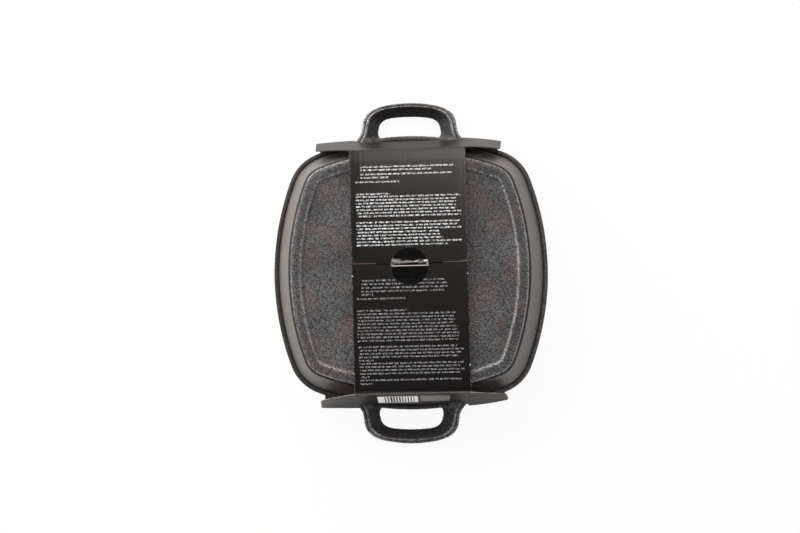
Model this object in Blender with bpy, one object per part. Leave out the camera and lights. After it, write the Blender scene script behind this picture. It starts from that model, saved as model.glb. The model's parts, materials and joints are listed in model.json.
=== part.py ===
"""A square cast iron grill pan with two loop handles, in its folded card sleeve.

The pan lies face down, as it does when the sleeve is opened from behind: the rim is
at the bottom, the base ring at the top, and the handles point along +Y and -Y. The
sleeve is one band of board. Its front panel lies under the rim, a side panel leans up
over each handle side, and two back flaps meet on the base, where a tongue and a clear
seal hold them. Each panel turns on its crease, so each is an object of its own.
Sizes are in metres. Z is up and Z = 0 is the outer face of the front panel.
"""

import math

import bmesh
import bpy
from mathutils import Matrix, Vector

MM = 0.001

# Pan casting
BODY_HALF = 133.5 * MM  # centre to the lip, in the middle of a side
PAN_HEIGHT = 48 * MM  # rim to the top of the base ring
SIDE_BOW_RADIUS = 258 * MM  # each side is a slight arc
LIP_CORNER_RADIUS = 44 * MM
LIP_WIDTH = 5.3 * MM  # how far the lip stands out of the wall
LIP_THICKNESS = 6 * MM
LIP_ROUNDING = 1.6 * MM
WALL_THICKNESS = 4.6 * MM
WALL_HOLLOW = 0.5 * MM  # how far the wall draws in under the lip
WALL_DRAFT = 20.4  # degrees that the wall leans in towards the base
RING_HEIGHT = 6.3 * MM  # wall foot to the top of the ring
RING_STEP = 2.0 * MM  # wall foot to the ring's outer side
RING_WIDTH = 11.2 * MM
RING_OUTER_ROUND = 4.6 * MM
RING_OUTER_DROP = 3.2 * MM  # how far down the outer edge is rounded
RING_INNER_ROUND = 3.4 * MM
RING_INNER_LEAN = 0.85 * MM  # how far the ring's inner side leans out over its foot
RING_CORNER_RADIUS = 24 * MM
PLATE_CORNER_RADIUS = 9 * MM
PLATE_RECESS = 2.3 * MM  # base plate, below the top of the ring
FLOOR_THICKNESS = 4.8 * MM
FLOOR_FILLET = 6 * MM  # between the inner wall and the cooking floor

# Grill ribs on the cooking floor
RIB_PITCH = 15 * MM
RIB_HEIGHT = 5 * MM
RIB_FOOT_WIDTH = 5 * MM
RIB_CREST_WIDTH = 3 * MM
RIB_END_SPACE = 6 * MM  # from the end of a rib to the fillet of the floor
RIB_ROOT = 0.5 * MM  # upright stretch of a rib's side, at the floor
RIB_SUNK = 0.6 * MM  # how far a rib's foot goes into the floor

# Loop handles
HANDLE_REACH = 32.6 * MM  # lip to the end of the loop
HANDLE_WIDTH = 92.4 * MM  # over the legs
HANDLE_ROOT_DEPTH = 10 * MM  # how far the legs go on inside the lip
HANDLE_ROOT_FLARE = 8 * MM  # how much wider each leg is there
HANDLE_FILLET = 5.6 * MM  # how far out of the lip a leg is still wider
HANDLE_LEG_LEAN = 0.8 * MM  # how far each leg leans in towards the end
HANDLE_CORNER = 20 * MM
HANDLE_END_BOW = 2.8 * MM
GRIP_GAP_WIDTH = 62 * MM
GRIP_GAP_REACH = 19.3 * MM  # lip to the far side of the gap
GRIP_GAP_CORNER = 11 * MM
GRIP_GAP_BOW = 0.9 * MM
HANDLE_THICKNESS = 9.6 * MM
HANDLE_SETBACK = 0.4 * MM  # handle's lower face, above the rim
HANDLE_SECTION = (
    # share of the way from the outer edge to the gap, share of the thickness
    (0.00, 0.16),
    (0.00, 0.70),
    (0.06, 0.92),
    (0.17, 1.00),
    (0.32, 0.98),
    (0.62, 0.76),
    (0.90, 0.48),
    (1.00, 0.34),
    (1.00, 0.12),
    (0.90, 0.00),
    (0.10, 0.00),
)

# Card sleeve
BOARD_THICKNESS = 1.2 * MM
FRONT_PANEL_WIDTH = 182 * MM
FLAP_WIDTH = 107 * MM
FRONT_CREASE_OUT = 3.1 * MM  # front crease, out of the lip beside the slot
BASE_CREASE_OUT = 1.93 * MM  # base crease, out of the base ring
SEAM_OFFSET = 9.4 * MM  # seam of the flaps, from the pan's centre
SEAM_GAP = 0.3 * MM
WING_TAPER = 15.5 * MM  # how far a side panel's outer end stops short of the base crease
WING_CORNER_RADIUS = 5 * MM
SLOT_SIDE_SPACE = 6.3 * MM  # handle's leg to the end of the slot
SLOT_HEADROOM = 2.65 * MM  # handle to the slot's upper edge
SLOT_CORNER_RADIUS = 3 * MM
FRONT_CREASE_SPACE = 1.2 * MM  # crease line to the edge of the flat board
BASE_CREASE_SPACE = 0.85 * MM
FLAP_CORNER_RADIUS = 0.8 * MM

# Tongue and seal
TONGUE_WIDTH = 62.4 * MM
TONGUE_LENGTH = 14 * MM  # seam to its hidden end
TONGUE_THICKNESS = 1.1 * MM
TONGUE_NOTCH = 2.1 * MM  # slit of the lower flap, along the pan
TONGUE_SIDE_SPACE = 0.4 * MM
TONGUE_BEND_TOP = 0.63 * MM  # from the seam to where the upper face bends down
TONGUE_BEND_DIP = 0.12 * MM  # how far the upper face has fallen there
TONGUE_BEND_UNDER = 0.73 * MM  # from the seam to where the lower face runs flat
SEAL_RADIUS = 17.8 * MM
SEAL_OFFSET = 4.8 * MM  # centre of the seal, from the seam
SEAL_THICKNESS = 0.3 * MM

# Resting clearance between pieces that touch
TOUCH = 0.3 * MM

# How finely round stretches are divided
SIDE_STEPS = 10
CORNER_STEPS = 7
FILLET_STEPS = 4
LIP_STEPS = 3
RIM_STEPS = 2
LOOP_STEPS = 6
ROOT_STEPS = 3
SEAL_STEPS = 40
WALL_LEVELS = (0.12, 0.5, 0.97)  # shares of the way from the lip to the ring
SHARP_EDGE = math.radians(35)  # flatter edges than this are shaded smooth

# Levels that follow from the sizes above
RIM_Z = BOARD_THICKNESS + TOUCH
LIP_TOP_Z = RIM_Z + LIP_THICKNESS
RING_TOP_Z = RIM_Z + PAN_HEIGHT
RING_FOOT_Z = RING_TOP_Z - RING_HEIGHT
PLATE_Z = RING_TOP_Z - PLATE_RECESS
FLOOR_Z = PLATE_Z - FLOOR_THICKNESS
FRONT_CREASE_Z = BOARD_THICKNESS / 2
BASE_CREASE_Z = RING_TOP_Z + TOUCH + BOARD_THICKNESS / 2
FLAP_UNDER_Z = RING_TOP_Z + TOUCH
FLAP_TOP_Z = FLAP_UNDER_Z + BOARD_THICKNESS

# Half sizes that follow from the body
WALL_TOP_HALF = BODY_HALF - LIP_WIDTH
WALL_RISE = RING_FOOT_Z - LIP_TOP_Z
WALL_FOOT_HALF = WALL_TOP_HALF - WALL_HOLLOW - WALL_RISE * math.tan(math.radians(WALL_DRAFT))
RING_OUTER_HALF = WALL_FOOT_HALF - RING_STEP
PLATE_HALF = RING_OUTER_HALF - RING_WIDTH
SIDE_CENTRE_OFFSET = SIDE_BOW_RADIUS - BODY_HALF  # the side arcs' centres, past the middle

# The sleeve's creases and slots, which follow the pan
SLOT_WIDTH = HANDLE_WIDTH + 2 * SLOT_SIDE_SPACE
LIP_AT_SLOT = math.sqrt(SIDE_BOW_RADIUS**2 - (SLOT_WIDTH / 2) ** 2) - SIDE_CENTRE_OFFSET
FRONT_CREASE_HALF = LIP_AT_SLOT + FRONT_CREASE_OUT
BASE_CREASE_HALF = RING_OUTER_HALF + BASE_CREASE_OUT
CREASE_STEP_IN = FRONT_CREASE_HALF - BASE_CREASE_HALF
CREASE_STEP_UP = BASE_CREASE_Z - FRONT_CREASE_Z
SIDE_PANEL_LENGTH = math.hypot(CREASE_STEP_IN, CREASE_STEP_UP)
SIDE_PANEL_LEAN = math.atan2(CREASE_STEP_IN, CREASE_STEP_UP)
WING_END_LENGTH = SIDE_PANEL_LENGTH - WING_TAPER
HANDLE_TOP_Z = RIM_Z + HANDLE_SETBACK + HANDLE_THICKNESS
SLOT_TOP_Z = HANDLE_TOP_Z + SLOT_HEADROOM
SLOT_DEPTH = (SLOT_TOP_Z - FRONT_CREASE_Z) / math.cos(SIDE_PANEL_LEAN)


def material(name, colour, roughness, metallic=0.0, alpha=1.0):
    """A Principled material in one colour, given in linear RGB."""
    made = bpy.data.materials.new(name)
    made.use_nodes = True
    shader = made.node_tree.nodes["Principled BSDF"]
    shader.inputs["Base Color"].default_value = (*colour, 1.0)
    shader.inputs["Roughness"].default_value = roughness
    shader.inputs["Metallic"].default_value = metallic
    shader.inputs["Alpha"].default_value = alpha
    made.diffuse_color = (*colour, alpha)
    return made


def add_object(name, mesh, finish):
    """An object for a mesh, in the scene."""
    made = bpy.data.objects.new(name, mesh)
    bpy.context.collection.objects.link(made)
    if finish is not None:
        mesh.materials.append(finish)
    return made


def mesh_from(name, points, faces):
    """A closed mesh from points and faces, with its faces turned outwards."""
    made = bpy.data.meshes.new(name)
    made.from_pydata([tuple(p) for p in points], [], faces)
    made.shade_smooth()
    work = bmesh.new()
    work.from_mesh(made)
    bmesh.ops.recalc_face_normals(work, faces=work.faces)
    work.to_mesh(made)
    work.free()
    made.set_sharp_from_angle(angle=SHARP_EDGE)
    return made


def corner_centre(half, corner_radius):
    """How far out along both axes the centre of a corner arc lies.

    The corner arc touches the bowed sides from inside. The sides keep their centres
    at every level, so the walls stay parallel to the lip.
    """
    offset = SIDE_CENTRE_OFFSET
    reach = half + offset - corner_radius
    return (math.sqrt(2 * reach**2 - offset**2) - offset) / 2


def outline(half, corner_radius):
    """A square with bowed sides and round corners, as points (x, y), anticlockwise."""
    offset = SIDE_CENTRE_OFFSET
    side_radius = half + offset
    centre = corner_centre(half, corner_radius)
    turn = math.atan2(centre, centre + offset)
    quarter = []
    for step in range(SIDE_STEPS):
        angle = -turn + 2 * turn * step / SIDE_STEPS
        quarter.append(
            (side_radius * math.cos(angle) - offset, side_radius * math.sin(angle))
        )
    for step in range(CORNER_STEPS):
        angle = turn + (math.pi / 2 - 2 * turn) * step / CORNER_STEPS
        quarter.append(
            (
                centre + corner_radius * math.cos(angle),
                centre + corner_radius * math.sin(angle),
            )
        )
    points = []
    for side in range(4):
        spin = Matrix.Rotation(side * math.pi / 2, 2)
        points += [tuple(spin @ Vector(p)) for p in quarter]
    return points


def rounded_step(start, end, corner, steps):
    """Points of a curve from start to end, drawn towards its control point, corner."""
    points = []
    for step in range(steps + 1):
        t = step / steps
        points.append(
            tuple(
                (1 - t) ** 2 * a + 2 * t * (1 - t) * b + t**2 * c
                for a, b, c in zip(start, corner, end)
            )
        )
    return points


def wall_half(height):
    """Half size of the outer wall at a height between the lip and the base ring."""
    top = WALL_TOP_HALF - WALL_HOLLOW
    share = (height - LIP_TOP_Z) / WALL_RISE
    return top + (WALL_FOOT_HALF - top) * share


def casting_profile():
    """The pan's section as (half size, height, corner radius), cooking floor to base plate.

    It runs from the edge of the cooking floor down the inner wall to the rim, round
    the lip, up the outer wall, over the base ring and down to the base plate.
    """
    wall_corner = LIP_CORNER_RADIUS - LIP_WIDTH
    lip_inner = BODY_HALF - LIP_ROUNDING
    lip_inner_corner = LIP_CORNER_RADIUS - LIP_ROUNDING

    foot_z = FLOOR_Z - FLOOR_FILLET
    foot_half = wall_half(foot_z) - WALL_THICKNESS
    foot_corner = RING_CORNER_RADIUS - WALL_THICKNESS
    rim_half = WALL_TOP_HALF + LIP_ROUNDING - WALL_THICKNESS
    rim_corner = wall_corner + LIP_ROUNDING - WALL_THICKNESS

    ring_flat_outer = RING_OUTER_HALF - RING_OUTER_ROUND
    ring_flat_inner = PLATE_HALF + RING_INNER_ROUND

    profile = rounded_step(
        (foot_half - FLOOR_FILLET, FLOOR_Z, foot_corner - FLOOR_FILLET),
        (foot_half, foot_z, foot_corner),
        (foot_half, FLOOR_Z, foot_corner),
        FILLET_STEPS,
    )
    profile += rounded_step(
        (rim_half, RIM_Z + LIP_ROUNDING, rim_corner),
        (rim_half + LIP_ROUNDING, RIM_Z, rim_corner + LIP_ROUNDING),
        (rim_half, RIM_Z, rim_corner),
        RIM_STEPS,
    )
    profile += rounded_step(
        (lip_inner, RIM_Z, lip_inner_corner),
        (BODY_HALF, RIM_Z + LIP_ROUNDING, LIP_CORNER_RADIUS),
        (BODY_HALF, RIM_Z, LIP_CORNER_RADIUS),
        LIP_STEPS,
    )
    profile += rounded_step(
        (BODY_HALF, LIP_TOP_Z - LIP_ROUNDING, LIP_CORNER_RADIUS),
        (lip_inner, LIP_TOP_Z, lip_inner_corner),
        (BODY_HALF, LIP_TOP_Z, LIP_CORNER_RADIUS),
        LIP_STEPS,
    )
    profile.append((WALL_TOP_HALF + WALL_HOLLOW, LIP_TOP_Z, wall_corner + WALL_HOLLOW))
    profile.append((WALL_TOP_HALF, LIP_TOP_Z + WALL_HOLLOW, wall_corner))
    for share in WALL_LEVELS:
        height = LIP_TOP_Z + share * WALL_RISE
        radius = wall_corner + (RING_CORNER_RADIUS - wall_corner) * share
        profile.append((wall_half(height), height, radius))
    profile.append((RING_OUTER_HALF, RING_FOOT_Z, RING_CORNER_RADIUS))
    profile += rounded_step(
        (RING_OUTER_HALF, RING_TOP_Z - RING_OUTER_DROP, RING_CORNER_RADIUS),
        (ring_flat_outer, RING_TOP_Z, RING_CORNER_RADIUS - RING_OUTER_ROUND),
        (RING_OUTER_HALF, RING_TOP_Z, RING_CORNER_RADIUS),
        FILLET_STEPS,
    )
    profile += rounded_step(
        (ring_flat_inner, RING_TOP_Z, PLATE_CORNER_RADIUS + RING_INNER_ROUND),
        (PLATE_HALF, PLATE_Z, PLATE_CORNER_RADIUS),
        (PLATE_HALF + RING_INNER_LEAN, RING_TOP_Z, PLATE_CORNER_RADIUS),
        FILLET_STEPS,
    )
    return profile


def casting_body():
    """Body, lip, base ring and plate: one skin through the levels of the profile."""
    levels = []
    for half, height, radius in casting_profile():
        levels.append([(x, y, height) for x, y in outline(half, radius)])
    count = len(levels[0])
    points = [p for level in levels for p in level]
    faces = []
    for level in range(len(levels) - 1):
        for step in range(count):
            after = (step + 1) % count
            faces.append(
                (
                    level * count + step,
                    level * count + after,
                    (level + 1) * count + after,
                    (level + 1) * count + step,
                )
            )
    faces.append(tuple(range(count)))
    last = (len(levels) - 1) * count
    faces.append(tuple(last + step for step in range(count)))
    return mesh_from("pan_casting", points, faces)


def floor_reach(x, half, corner_radius):
    """How far along Y the outline of that half size reaches at x."""
    points = outline(half, corner_radius)
    reach = 0.0
    for (x0, y0), (x1, y1) in zip(points, points[1:] + points[:1]):
        if min(x0, x1) <= x <= max(x0, x1) and x0 != x1:
            reach = max(reach, y0 + (y1 - y0) * (x - x0) / (x1 - x0))
    return reach


def grill_ribs():
    """The ribs of the cooking floor, as separate tapered bars that point down."""
    floor_edge = casting_profile()[0]
    half = floor_edge[0] - RIB_END_SPACE
    corner = floor_edge[2]
    each_side = int((half - RIB_FOOT_WIDTH) / RIB_PITCH)
    points, faces = [], []
    for rib in range(-each_side, each_side + 1):
        x = rib * RIB_PITCH
        foot_end = floor_reach(abs(x), half, corner)
        crest_end = foot_end - RIB_HEIGHT
        first = len(points)
        for width, end, height in (
            (RIB_FOOT_WIDTH, foot_end, FLOOR_Z + RIB_SUNK),
            (RIB_FOOT_WIDTH, foot_end, FLOOR_Z - RIB_ROOT),
            (RIB_CREST_WIDTH, crest_end, FLOOR_Z - RIB_HEIGHT),
        ):
            points += [
                (x - width / 2, -end, height),
                (x + width / 2, -end, height),
                (x + width / 2, end, height),
                (x - width / 2, end, height),
            ]
        faces.append(tuple(first + n for n in (0, 1, 2, 3)))
        faces.append(tuple(first + n for n in (8, 9, 10, 11)))
        for level in (0, 4):
            for n in range(4):
                after = (n + 1) % 4
                faces.append(
                    (
                        first + level + n,
                        first + level + after,
                        first + level + 4 + after,
                        first + level + 4 + n,
                    )
                )
    return mesh_from("grill_rib_form", points, faces)


def half_loop(half_width, flare, side_y, end_y, corner, bow):
    """One half of a loop's edge, from its root inside the lip to the middle of its end.

    The root flares outwards, the leg leans in a little, and the end is a slight arc.
    """
    root_y = BODY_HALF - HANDLE_ROOT_DEPTH
    root = rounded_step(
        (half_width + flare, root_y),
        (half_width, side_y),
        (half_width, (root_y + 2 * side_y) / 3),
        ROOT_STEPS,
    )
    leg_end = half_width - HANDLE_LEG_LEAN
    bend = rounded_step(
        (leg_end, end_y - bow - corner),
        (leg_end - corner, end_y - bow),
        (leg_end, end_y - bow),
        LOOP_STEPS,
    )
    end = rounded_step(bend[-1], (0.0, end_y), (bend[-1][0] / 2, end_y), ROOT_STEPS)
    return root + bend + end[1:]


def handle_form(direction):
    """A loop handle: a section swept between the loop's outer and inner edges.

    The section has a rim along its outer edge and falls away towards the gap.
    """
    outer = half_loop(
        HANDLE_WIDTH / 2,
        HANDLE_ROOT_FLARE,
        BODY_HALF + HANDLE_FILLET,
        BODY_HALF + HANDLE_REACH,
        HANDLE_CORNER,
        HANDLE_END_BOW,
    )
    inner = half_loop(
        GRIP_GAP_WIDTH / 2,
        0.0,
        BODY_HALF + HANDLE_FILLET / 2,
        BODY_HALF + GRIP_GAP_REACH,
        GRIP_GAP_CORNER,
        GRIP_GAP_BOW,
    )
    outer += [(-x, y) for x, y in outer[-2::-1]]
    inner += [(-x, y) for x, y in inner[-2::-1]]
    base = HANDLE_TOP_Z - HANDLE_THICKNESS
    points = []
    for (ox, oy), (ix, iy) in zip(outer, inner):
        for across, up in HANDLE_SECTION:
            points.append(
                (
                    ox + (ix - ox) * across,
                    direction * (oy + (iy - oy) * across),
                    base + HANDLE_THICKNESS * up,
                )
            )
    count = len(HANDLE_SECTION)
    faces = []
    for station in range(len(outer) - 1):
        for step in range(count):
            after = (step + 1) % count
            faces.append(
                (
                    station * count + step,
                    station * count + after,
                    (station + 1) * count + after,
                    (station + 1) * count + step,
                )
            )
    faces.append(tuple(range(count)))
    last = (len(outer) - 1) * count
    faces.append(tuple(last + step for step in range(count)))
    return mesh_from("handle_form", points, faces)


def join_to(target, form_name, mesh):
    """Fuses a form into the target with a Boolean union."""
    form = add_object(form_name, mesh, None)
    form.hide_render = True
    form.display_type = "WIRE"
    union = target.modifiers.new(form_name, "BOOLEAN")
    union.operation = "UNION"
    union.solver = "EXACT"
    union.object = form


def round_corners(corners):
    """Turns (x, y, radius) corners into points, with an arc where the radius isn't 0."""
    points = []
    count = len(corners)
    for index, (x, y, radius) in enumerate(corners):
        here = Vector((x, y))
        if radius == 0:
            points.append((x, y))
            continue
        before = (Vector(corners[index - 1][:2]) - here).normalized()
        after = (Vector(corners[(index + 1) % count][:2]) - here).normalized()
        half_angle = before.angle(after) / 2
        back = radius / math.tan(half_angle)
        start, end = here + before * back, here + after * back
        centre = here + (before + after).normalized() * (radius / math.sin(half_angle))
        first = (start - centre).normalized()
        last = (end - centre).normalized()
        for step in range(LIP_STEPS + 1):
            turned = first.slerp(last, step / LIP_STEPS)
            points.append(tuple(centre + turned * radius))
    return points


def plate(name, corners, thickness, finish):
    """A flat plate from an outline, with its mid-plane on the object's XY plane."""
    points = round_corners(corners)
    count = len(points)
    solid = [(x, y, -thickness / 2) for x, y in points]
    solid += [(x, y, thickness / 2) for x, y in points]
    faces = [tuple(range(count)), tuple(range(count, 2 * count))]
    for step in range(count):
        after = (step + 1) % count
        faces.append((step, after, count + after, count + step))
    return add_object(name, mesh_from(name, solid, faces), finish)


def side_panel(name, finish):
    """A side panel, from the front crease (Y = 0) to the base crease."""
    wing = FRONT_PANEL_WIDTH / 2
    slot = SLOT_WIDTH / 2
    top = FLAP_WIDTH / 2
    start = FRONT_CREASE_SPACE
    end = SIDE_PANEL_LENGTH - BASE_CREASE_SPACE
    right = [
        (slot, SLOT_DEPTH, SLOT_CORNER_RADIUS),
        (slot, start, 0),
        (wing, start, 0),
        (wing, WING_END_LENGTH, WING_CORNER_RADIUS),
        (top, end, 0),
    ]
    left = [(-x, y, radius) for x, y, radius in reversed(right)]
    return plate(name, right + left, BOARD_THICKNESS, finish)


def back_flap(name, length, notched, finish):
    """A back flap, from the base crease (Y = 0) to the seam."""
    side = FLAP_WIDTH / 2
    start = BASE_CREASE_SPACE
    end = length - SEAM_GAP / 2
    right = [(side, start, 0), (side, end, FLAP_CORNER_RADIUS)]
    if notched:
        slit = TONGUE_WIDTH / 2 + TONGUE_SIDE_SPACE
        right += [(slit, end, 0), (slit, end - TONGUE_NOTCH, 0)]
    left = [(-x, y, radius) for x, y, radius in reversed(right)]
    return plate(name, right + left, BOARD_THICKNESS, finish)


def carry(piece, carrier):
    """Makes a piece move with its carrier, and leaves it where it is."""
    bpy.context.view_layer.update()
    piece.parent = carrier
    piece.matrix_parent_inverse = carrier.matrix_world.inverted()


def lock_tongue(finish):
    """The tongue: from the upper flap's edge down through the slit, under the lower flap."""
    root_y = SEAM_OFFSET - SEAM_GAP / 2
    slit_y = root_y - TONGUE_NOTCH
    end_y = root_y - TONGUE_LENGTH
    hidden_top = FLAP_UNDER_Z - TOUCH
    hidden_under = hidden_top - TONGUE_THICKNESS
    profile = (
        (root_y, FLAP_TOP_Z),
        (root_y - TONGUE_BEND_TOP, FLAP_TOP_Z - TONGUE_BEND_DIP),
        (slit_y + TONGUE_SIDE_SPACE, hidden_top),
        (end_y, hidden_top),
        (end_y, hidden_under),
        (root_y - TONGUE_BEND_UNDER, hidden_under),
        (root_y, FLAP_UNDER_Z),
    )
    half = TONGUE_WIDTH / 2
    count = len(profile)
    points = [(-half, y, z) for y, z in profile]
    points += [(half, y, z) for y, z in profile]
    faces = [tuple(range(count)), tuple(range(count, 2 * count))]
    for step in range(count):
        after = (step + 1) % count
        faces.append((step, after, count + after, count + step))
    return add_object("lock_tongue", mesh_from("lock_tongue", points, faces), finish)


def seal_part(name, above_seam, finish):
    """The part of the round seal on one side of the seam."""
    centre_y = SEAM_OFFSET - SEAL_OFFSET
    cut = SEAL_OFFSET + (SEAM_GAP / 2 if above_seam else -SEAM_GAP / 2)
    edge_angle = math.asin(cut / SEAL_RADIUS)
    if above_seam:
        start, end = edge_angle, math.pi - edge_angle
    else:
        start, end = math.pi - edge_angle, 2 * math.pi + edge_angle
    corners = []
    for step in range(SEAL_STEPS + 1):
        angle = start + (end - start) * step / SEAL_STEPS
        corners.append((SEAL_RADIUS * math.cos(angle), SEAL_RADIUS * math.sin(angle), 0))
    piece = plate(name, corners, SEAL_THICKNESS, finish)
    piece.location = (0.0, centre_y, FLAP_TOP_Z + TOUCH + SEAL_THICKNESS / 2)
    return piece


def build():
    """Makes every piece of the pan and its sleeve."""
    for old in list(bpy.data.objects):
        bpy.data.objects.remove(old)

    iron = material("seasoned_cast_iron", (0.075, 0.072, 0.070), roughness=0.55, metallic=0.35)
    card = material("charcoal_printed_board", (0.030, 0.028, 0.027), roughness=0.42)
    film = material("clear_seal_film", (0.80, 0.80, 0.80), roughness=0.15, alpha=0.35)

    pan = add_object("pan_casting", casting_body(), iron)
    join_to(pan, "grill_rib_form", grill_ribs())
    join_to(pan, "upper_handle_form", handle_form(1))
    join_to(pan, "lower_handle_form", handle_form(-1))

    front_end = FRONT_CREASE_HALF - FRONT_CREASE_SPACE
    front_side = FRONT_PANEL_WIDTH / 2
    front = plate(
        "sleeve_front_panel",
        [
            (front_side, -front_end, 0),
            (front_side, front_end, 0),
            (-front_side, front_end, 0),
            (-front_side, -front_end, 0),
        ],
        BOARD_THICKNESS,
        card,
    )
    front.location = (0.0, 0.0, FRONT_CREASE_Z)

    upper_side = side_panel("sleeve_side_panel_upper", card)
    upper_side.location = (0.0, FRONT_CREASE_HALF, FRONT_CREASE_Z)
    upper_side.rotation_euler = (math.pi / 2 + SIDE_PANEL_LEAN, 0.0, 0.0)

    lower_side = side_panel("sleeve_side_panel_lower", card)
    lower_side.location = (0.0, -FRONT_CREASE_HALF, FRONT_CREASE_Z)
    lower_side.rotation_euler = (math.pi / 2 - SIDE_PANEL_LEAN, 0.0, 0.0)

    upper_length = BASE_CREASE_HALF - SEAM_OFFSET
    upper_flap = back_flap("sleeve_back_flap_upper", upper_length, False, card)
    upper_flap.location = (0.0, BASE_CREASE_HALF, BASE_CREASE_Z)
    upper_flap.rotation_euler = (math.pi, 0.0, 0.0)

    lower_length = BASE_CREASE_HALF + SEAM_OFFSET
    lower_flap = back_flap("sleeve_back_flap_lower", lower_length, True, card)
    lower_flap.location = (0.0, -BASE_CREASE_HALF, BASE_CREASE_Z)

    tongue = lock_tongue(card)
    upper_seal = seal_part("seal_upper_part", True, film)
    lower_seal = seal_part("seal_lower_part", False, film)

    carry(upper_side, front)
    carry(lower_side, front)
    carry(upper_flap, upper_side)
    carry(lower_flap, lower_side)
    carry(tongue, upper_flap)
    carry(upper_seal, upper_flap)
    carry(lower_seal, lower_flap)

    lean_degrees = math.degrees(SIDE_PANEL_LEAN)
    print(f"side panel: {SIDE_PANEL_LENGTH / MM:.2f} mm long, leans {lean_degrees:.2f} degrees")
    print(f"front creases at Y = +-{FRONT_CREASE_HALF / MM:.3f}, Z = {FRONT_CREASE_Z / MM:.2f} mm")
    print(f"base creases at Y = +-{BASE_CREASE_HALF / MM:.3f}, Z = {BASE_CREASE_Z / MM:.2f} mm")


build()
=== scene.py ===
# %% [markdown]
# A square cast iron grill pan, packed face down in a printed card sleeve.
# The photograph looks straight down on the base of the pan, so the base is up here too.
# The CAD model gives the real sizes and the joints of the sleeve. This script gives the
# surfaces: sand-cast iron with its baked-on seasoning, corrugated board with its print,
# and the clear seal that holds the two flaps.

# %% Load the frame
import json
import math

import bmesh
import bpy
import numpy as np
from mathutils import Euler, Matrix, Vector, noise
from mathutils.bvhtree import BVHTree
from mathutils.kdtree import KDTree


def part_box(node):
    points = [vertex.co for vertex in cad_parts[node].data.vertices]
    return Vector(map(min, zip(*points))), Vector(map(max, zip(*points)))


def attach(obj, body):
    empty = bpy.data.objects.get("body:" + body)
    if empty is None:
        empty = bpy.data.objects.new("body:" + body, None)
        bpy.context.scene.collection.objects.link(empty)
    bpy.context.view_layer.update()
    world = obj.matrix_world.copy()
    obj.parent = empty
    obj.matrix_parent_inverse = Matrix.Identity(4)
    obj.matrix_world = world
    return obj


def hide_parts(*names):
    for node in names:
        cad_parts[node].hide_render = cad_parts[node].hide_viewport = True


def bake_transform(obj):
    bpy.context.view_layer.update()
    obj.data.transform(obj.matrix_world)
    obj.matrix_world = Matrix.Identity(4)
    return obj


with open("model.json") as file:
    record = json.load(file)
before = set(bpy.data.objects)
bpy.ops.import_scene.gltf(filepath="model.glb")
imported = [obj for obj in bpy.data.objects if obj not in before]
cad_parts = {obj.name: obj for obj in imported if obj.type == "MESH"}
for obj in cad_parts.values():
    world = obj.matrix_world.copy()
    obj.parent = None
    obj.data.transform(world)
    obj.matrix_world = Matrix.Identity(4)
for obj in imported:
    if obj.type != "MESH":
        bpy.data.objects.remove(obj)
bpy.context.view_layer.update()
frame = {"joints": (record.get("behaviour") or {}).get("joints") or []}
MM = 0.001

# %% [markdown]
# A few small helpers carry the whole script. The first turns a colour picked on screen
# (sRGB) into the linear numbers that a shader wants. Two more build materials: fill gives
# a node's inputs their numbers or links, and add_node adds a node and fills it. A Mix node
# keeps its two colours in inputs 6 and 7. The others start a material, join rings of
# points with faces, make a mesh with its faces outwards, put an object in the scene, drop
# repeats from a list, keep a share between 0 and 1, and give texture scales.

# %% Helpers
def linear(hex_colour):
    """A colour such as #8a6f55 as linear RGBA."""
    levels = [int(hex_colour[i : i + 2], 16) / 255 for i in (1, 3, 5)]
    return tuple(v / 12.92 if v <= 0.04045 else ((v + 0.055) / 1.055) ** 2.4 for v in levels) + (1.0,)


def fill(node, inputs):
    """Gives each input a value, a socket, or another node, whose first output in use is linked."""
    for name, value in inputs.items():
        if isinstance(value, bpy.types.Node):
            value = next(output for output in value.outputs if output.enabled)
        if isinstance(value, bpy.types.NodeSocket):
            node.id_data.links.new(value, node.inputs[name])
        else:
            node.inputs[name].default_value = value


def add_node(tree, kind, inputs=None, **settings):
    """Adds a node. The settings come first, because they decide which sockets are in use."""
    node = tree.nodes.new("ShaderNode" + kind)
    for name, value in settings.items():
        setattr(node, name, value)
    fill(node, inputs or {})
    return node


def start_material(name):
    """A new material, its node tree and its shader."""
    made = bpy.data.materials.new(name)
    made.use_nodes = True
    print("material", name)
    return made, made.node_tree, made.node_tree.nodes["Principled BSDF"]


def joined_rings(rings, count, first=0):
    """Four-sided faces between neighbouring rings of count points, which start at point first."""
    faces = []
    for ring in range(rings - 1):
        here, there = first + ring * count, first + (ring + 1) * count
        for step in range(count):
            after = (step + 1) % count
            faces.append((here + step, here + after, there + after, there + step))
    return faces


def mesh_from(name, points, faces, smooth=True):
    """A mesh with its faces turned outwards."""
    made = bpy.data.meshes.new(name)
    made.from_pydata([tuple(p) for p in points], [], faces)
    work = bmesh.new()
    work.from_mesh(made)
    bmesh.ops.recalc_face_normals(work, faces=work.faces)
    work.to_mesh(made)
    work.free()
    if smooth:
        made.shade_smooth()
    return made


def add_object(name, data):
    """An object in the scene, at the origin: a mesh already in place, or a lamp or a camera."""
    made = bpy.data.objects.new(name, data)
    bpy.context.scene.collection.objects.link(made)
    return made


def each_once(items):
    """The items without repeats, in their own order."""
    return list(dict.fromkeys(items))


def clamped(share):
    """The share, kept between 0 and 1."""
    return min(max(share, 0), 1)


def per_mm(size):
    """The scale of a noise or wave texture whose features are about so many mm."""
    return 1 / (size * MM)


# %% [markdown]
# The camera stands where the photographer's did: 1.1 m above the floor and a little
# beside the pan. It looks almost straight down. The place and the tilt were fitted to the
# pan's outline, so the render can be laid over the photograph.

# %% Camera
CAMERA_PLACE = (0.03525, -0.04009, 1.1)
CAMERA_TILT = (2.372, 2.398, -0.42)  # degrees about X, Y and Z
CAMERA_LENS = 50.49  # mm, on a sensor 36 mm wide

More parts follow.
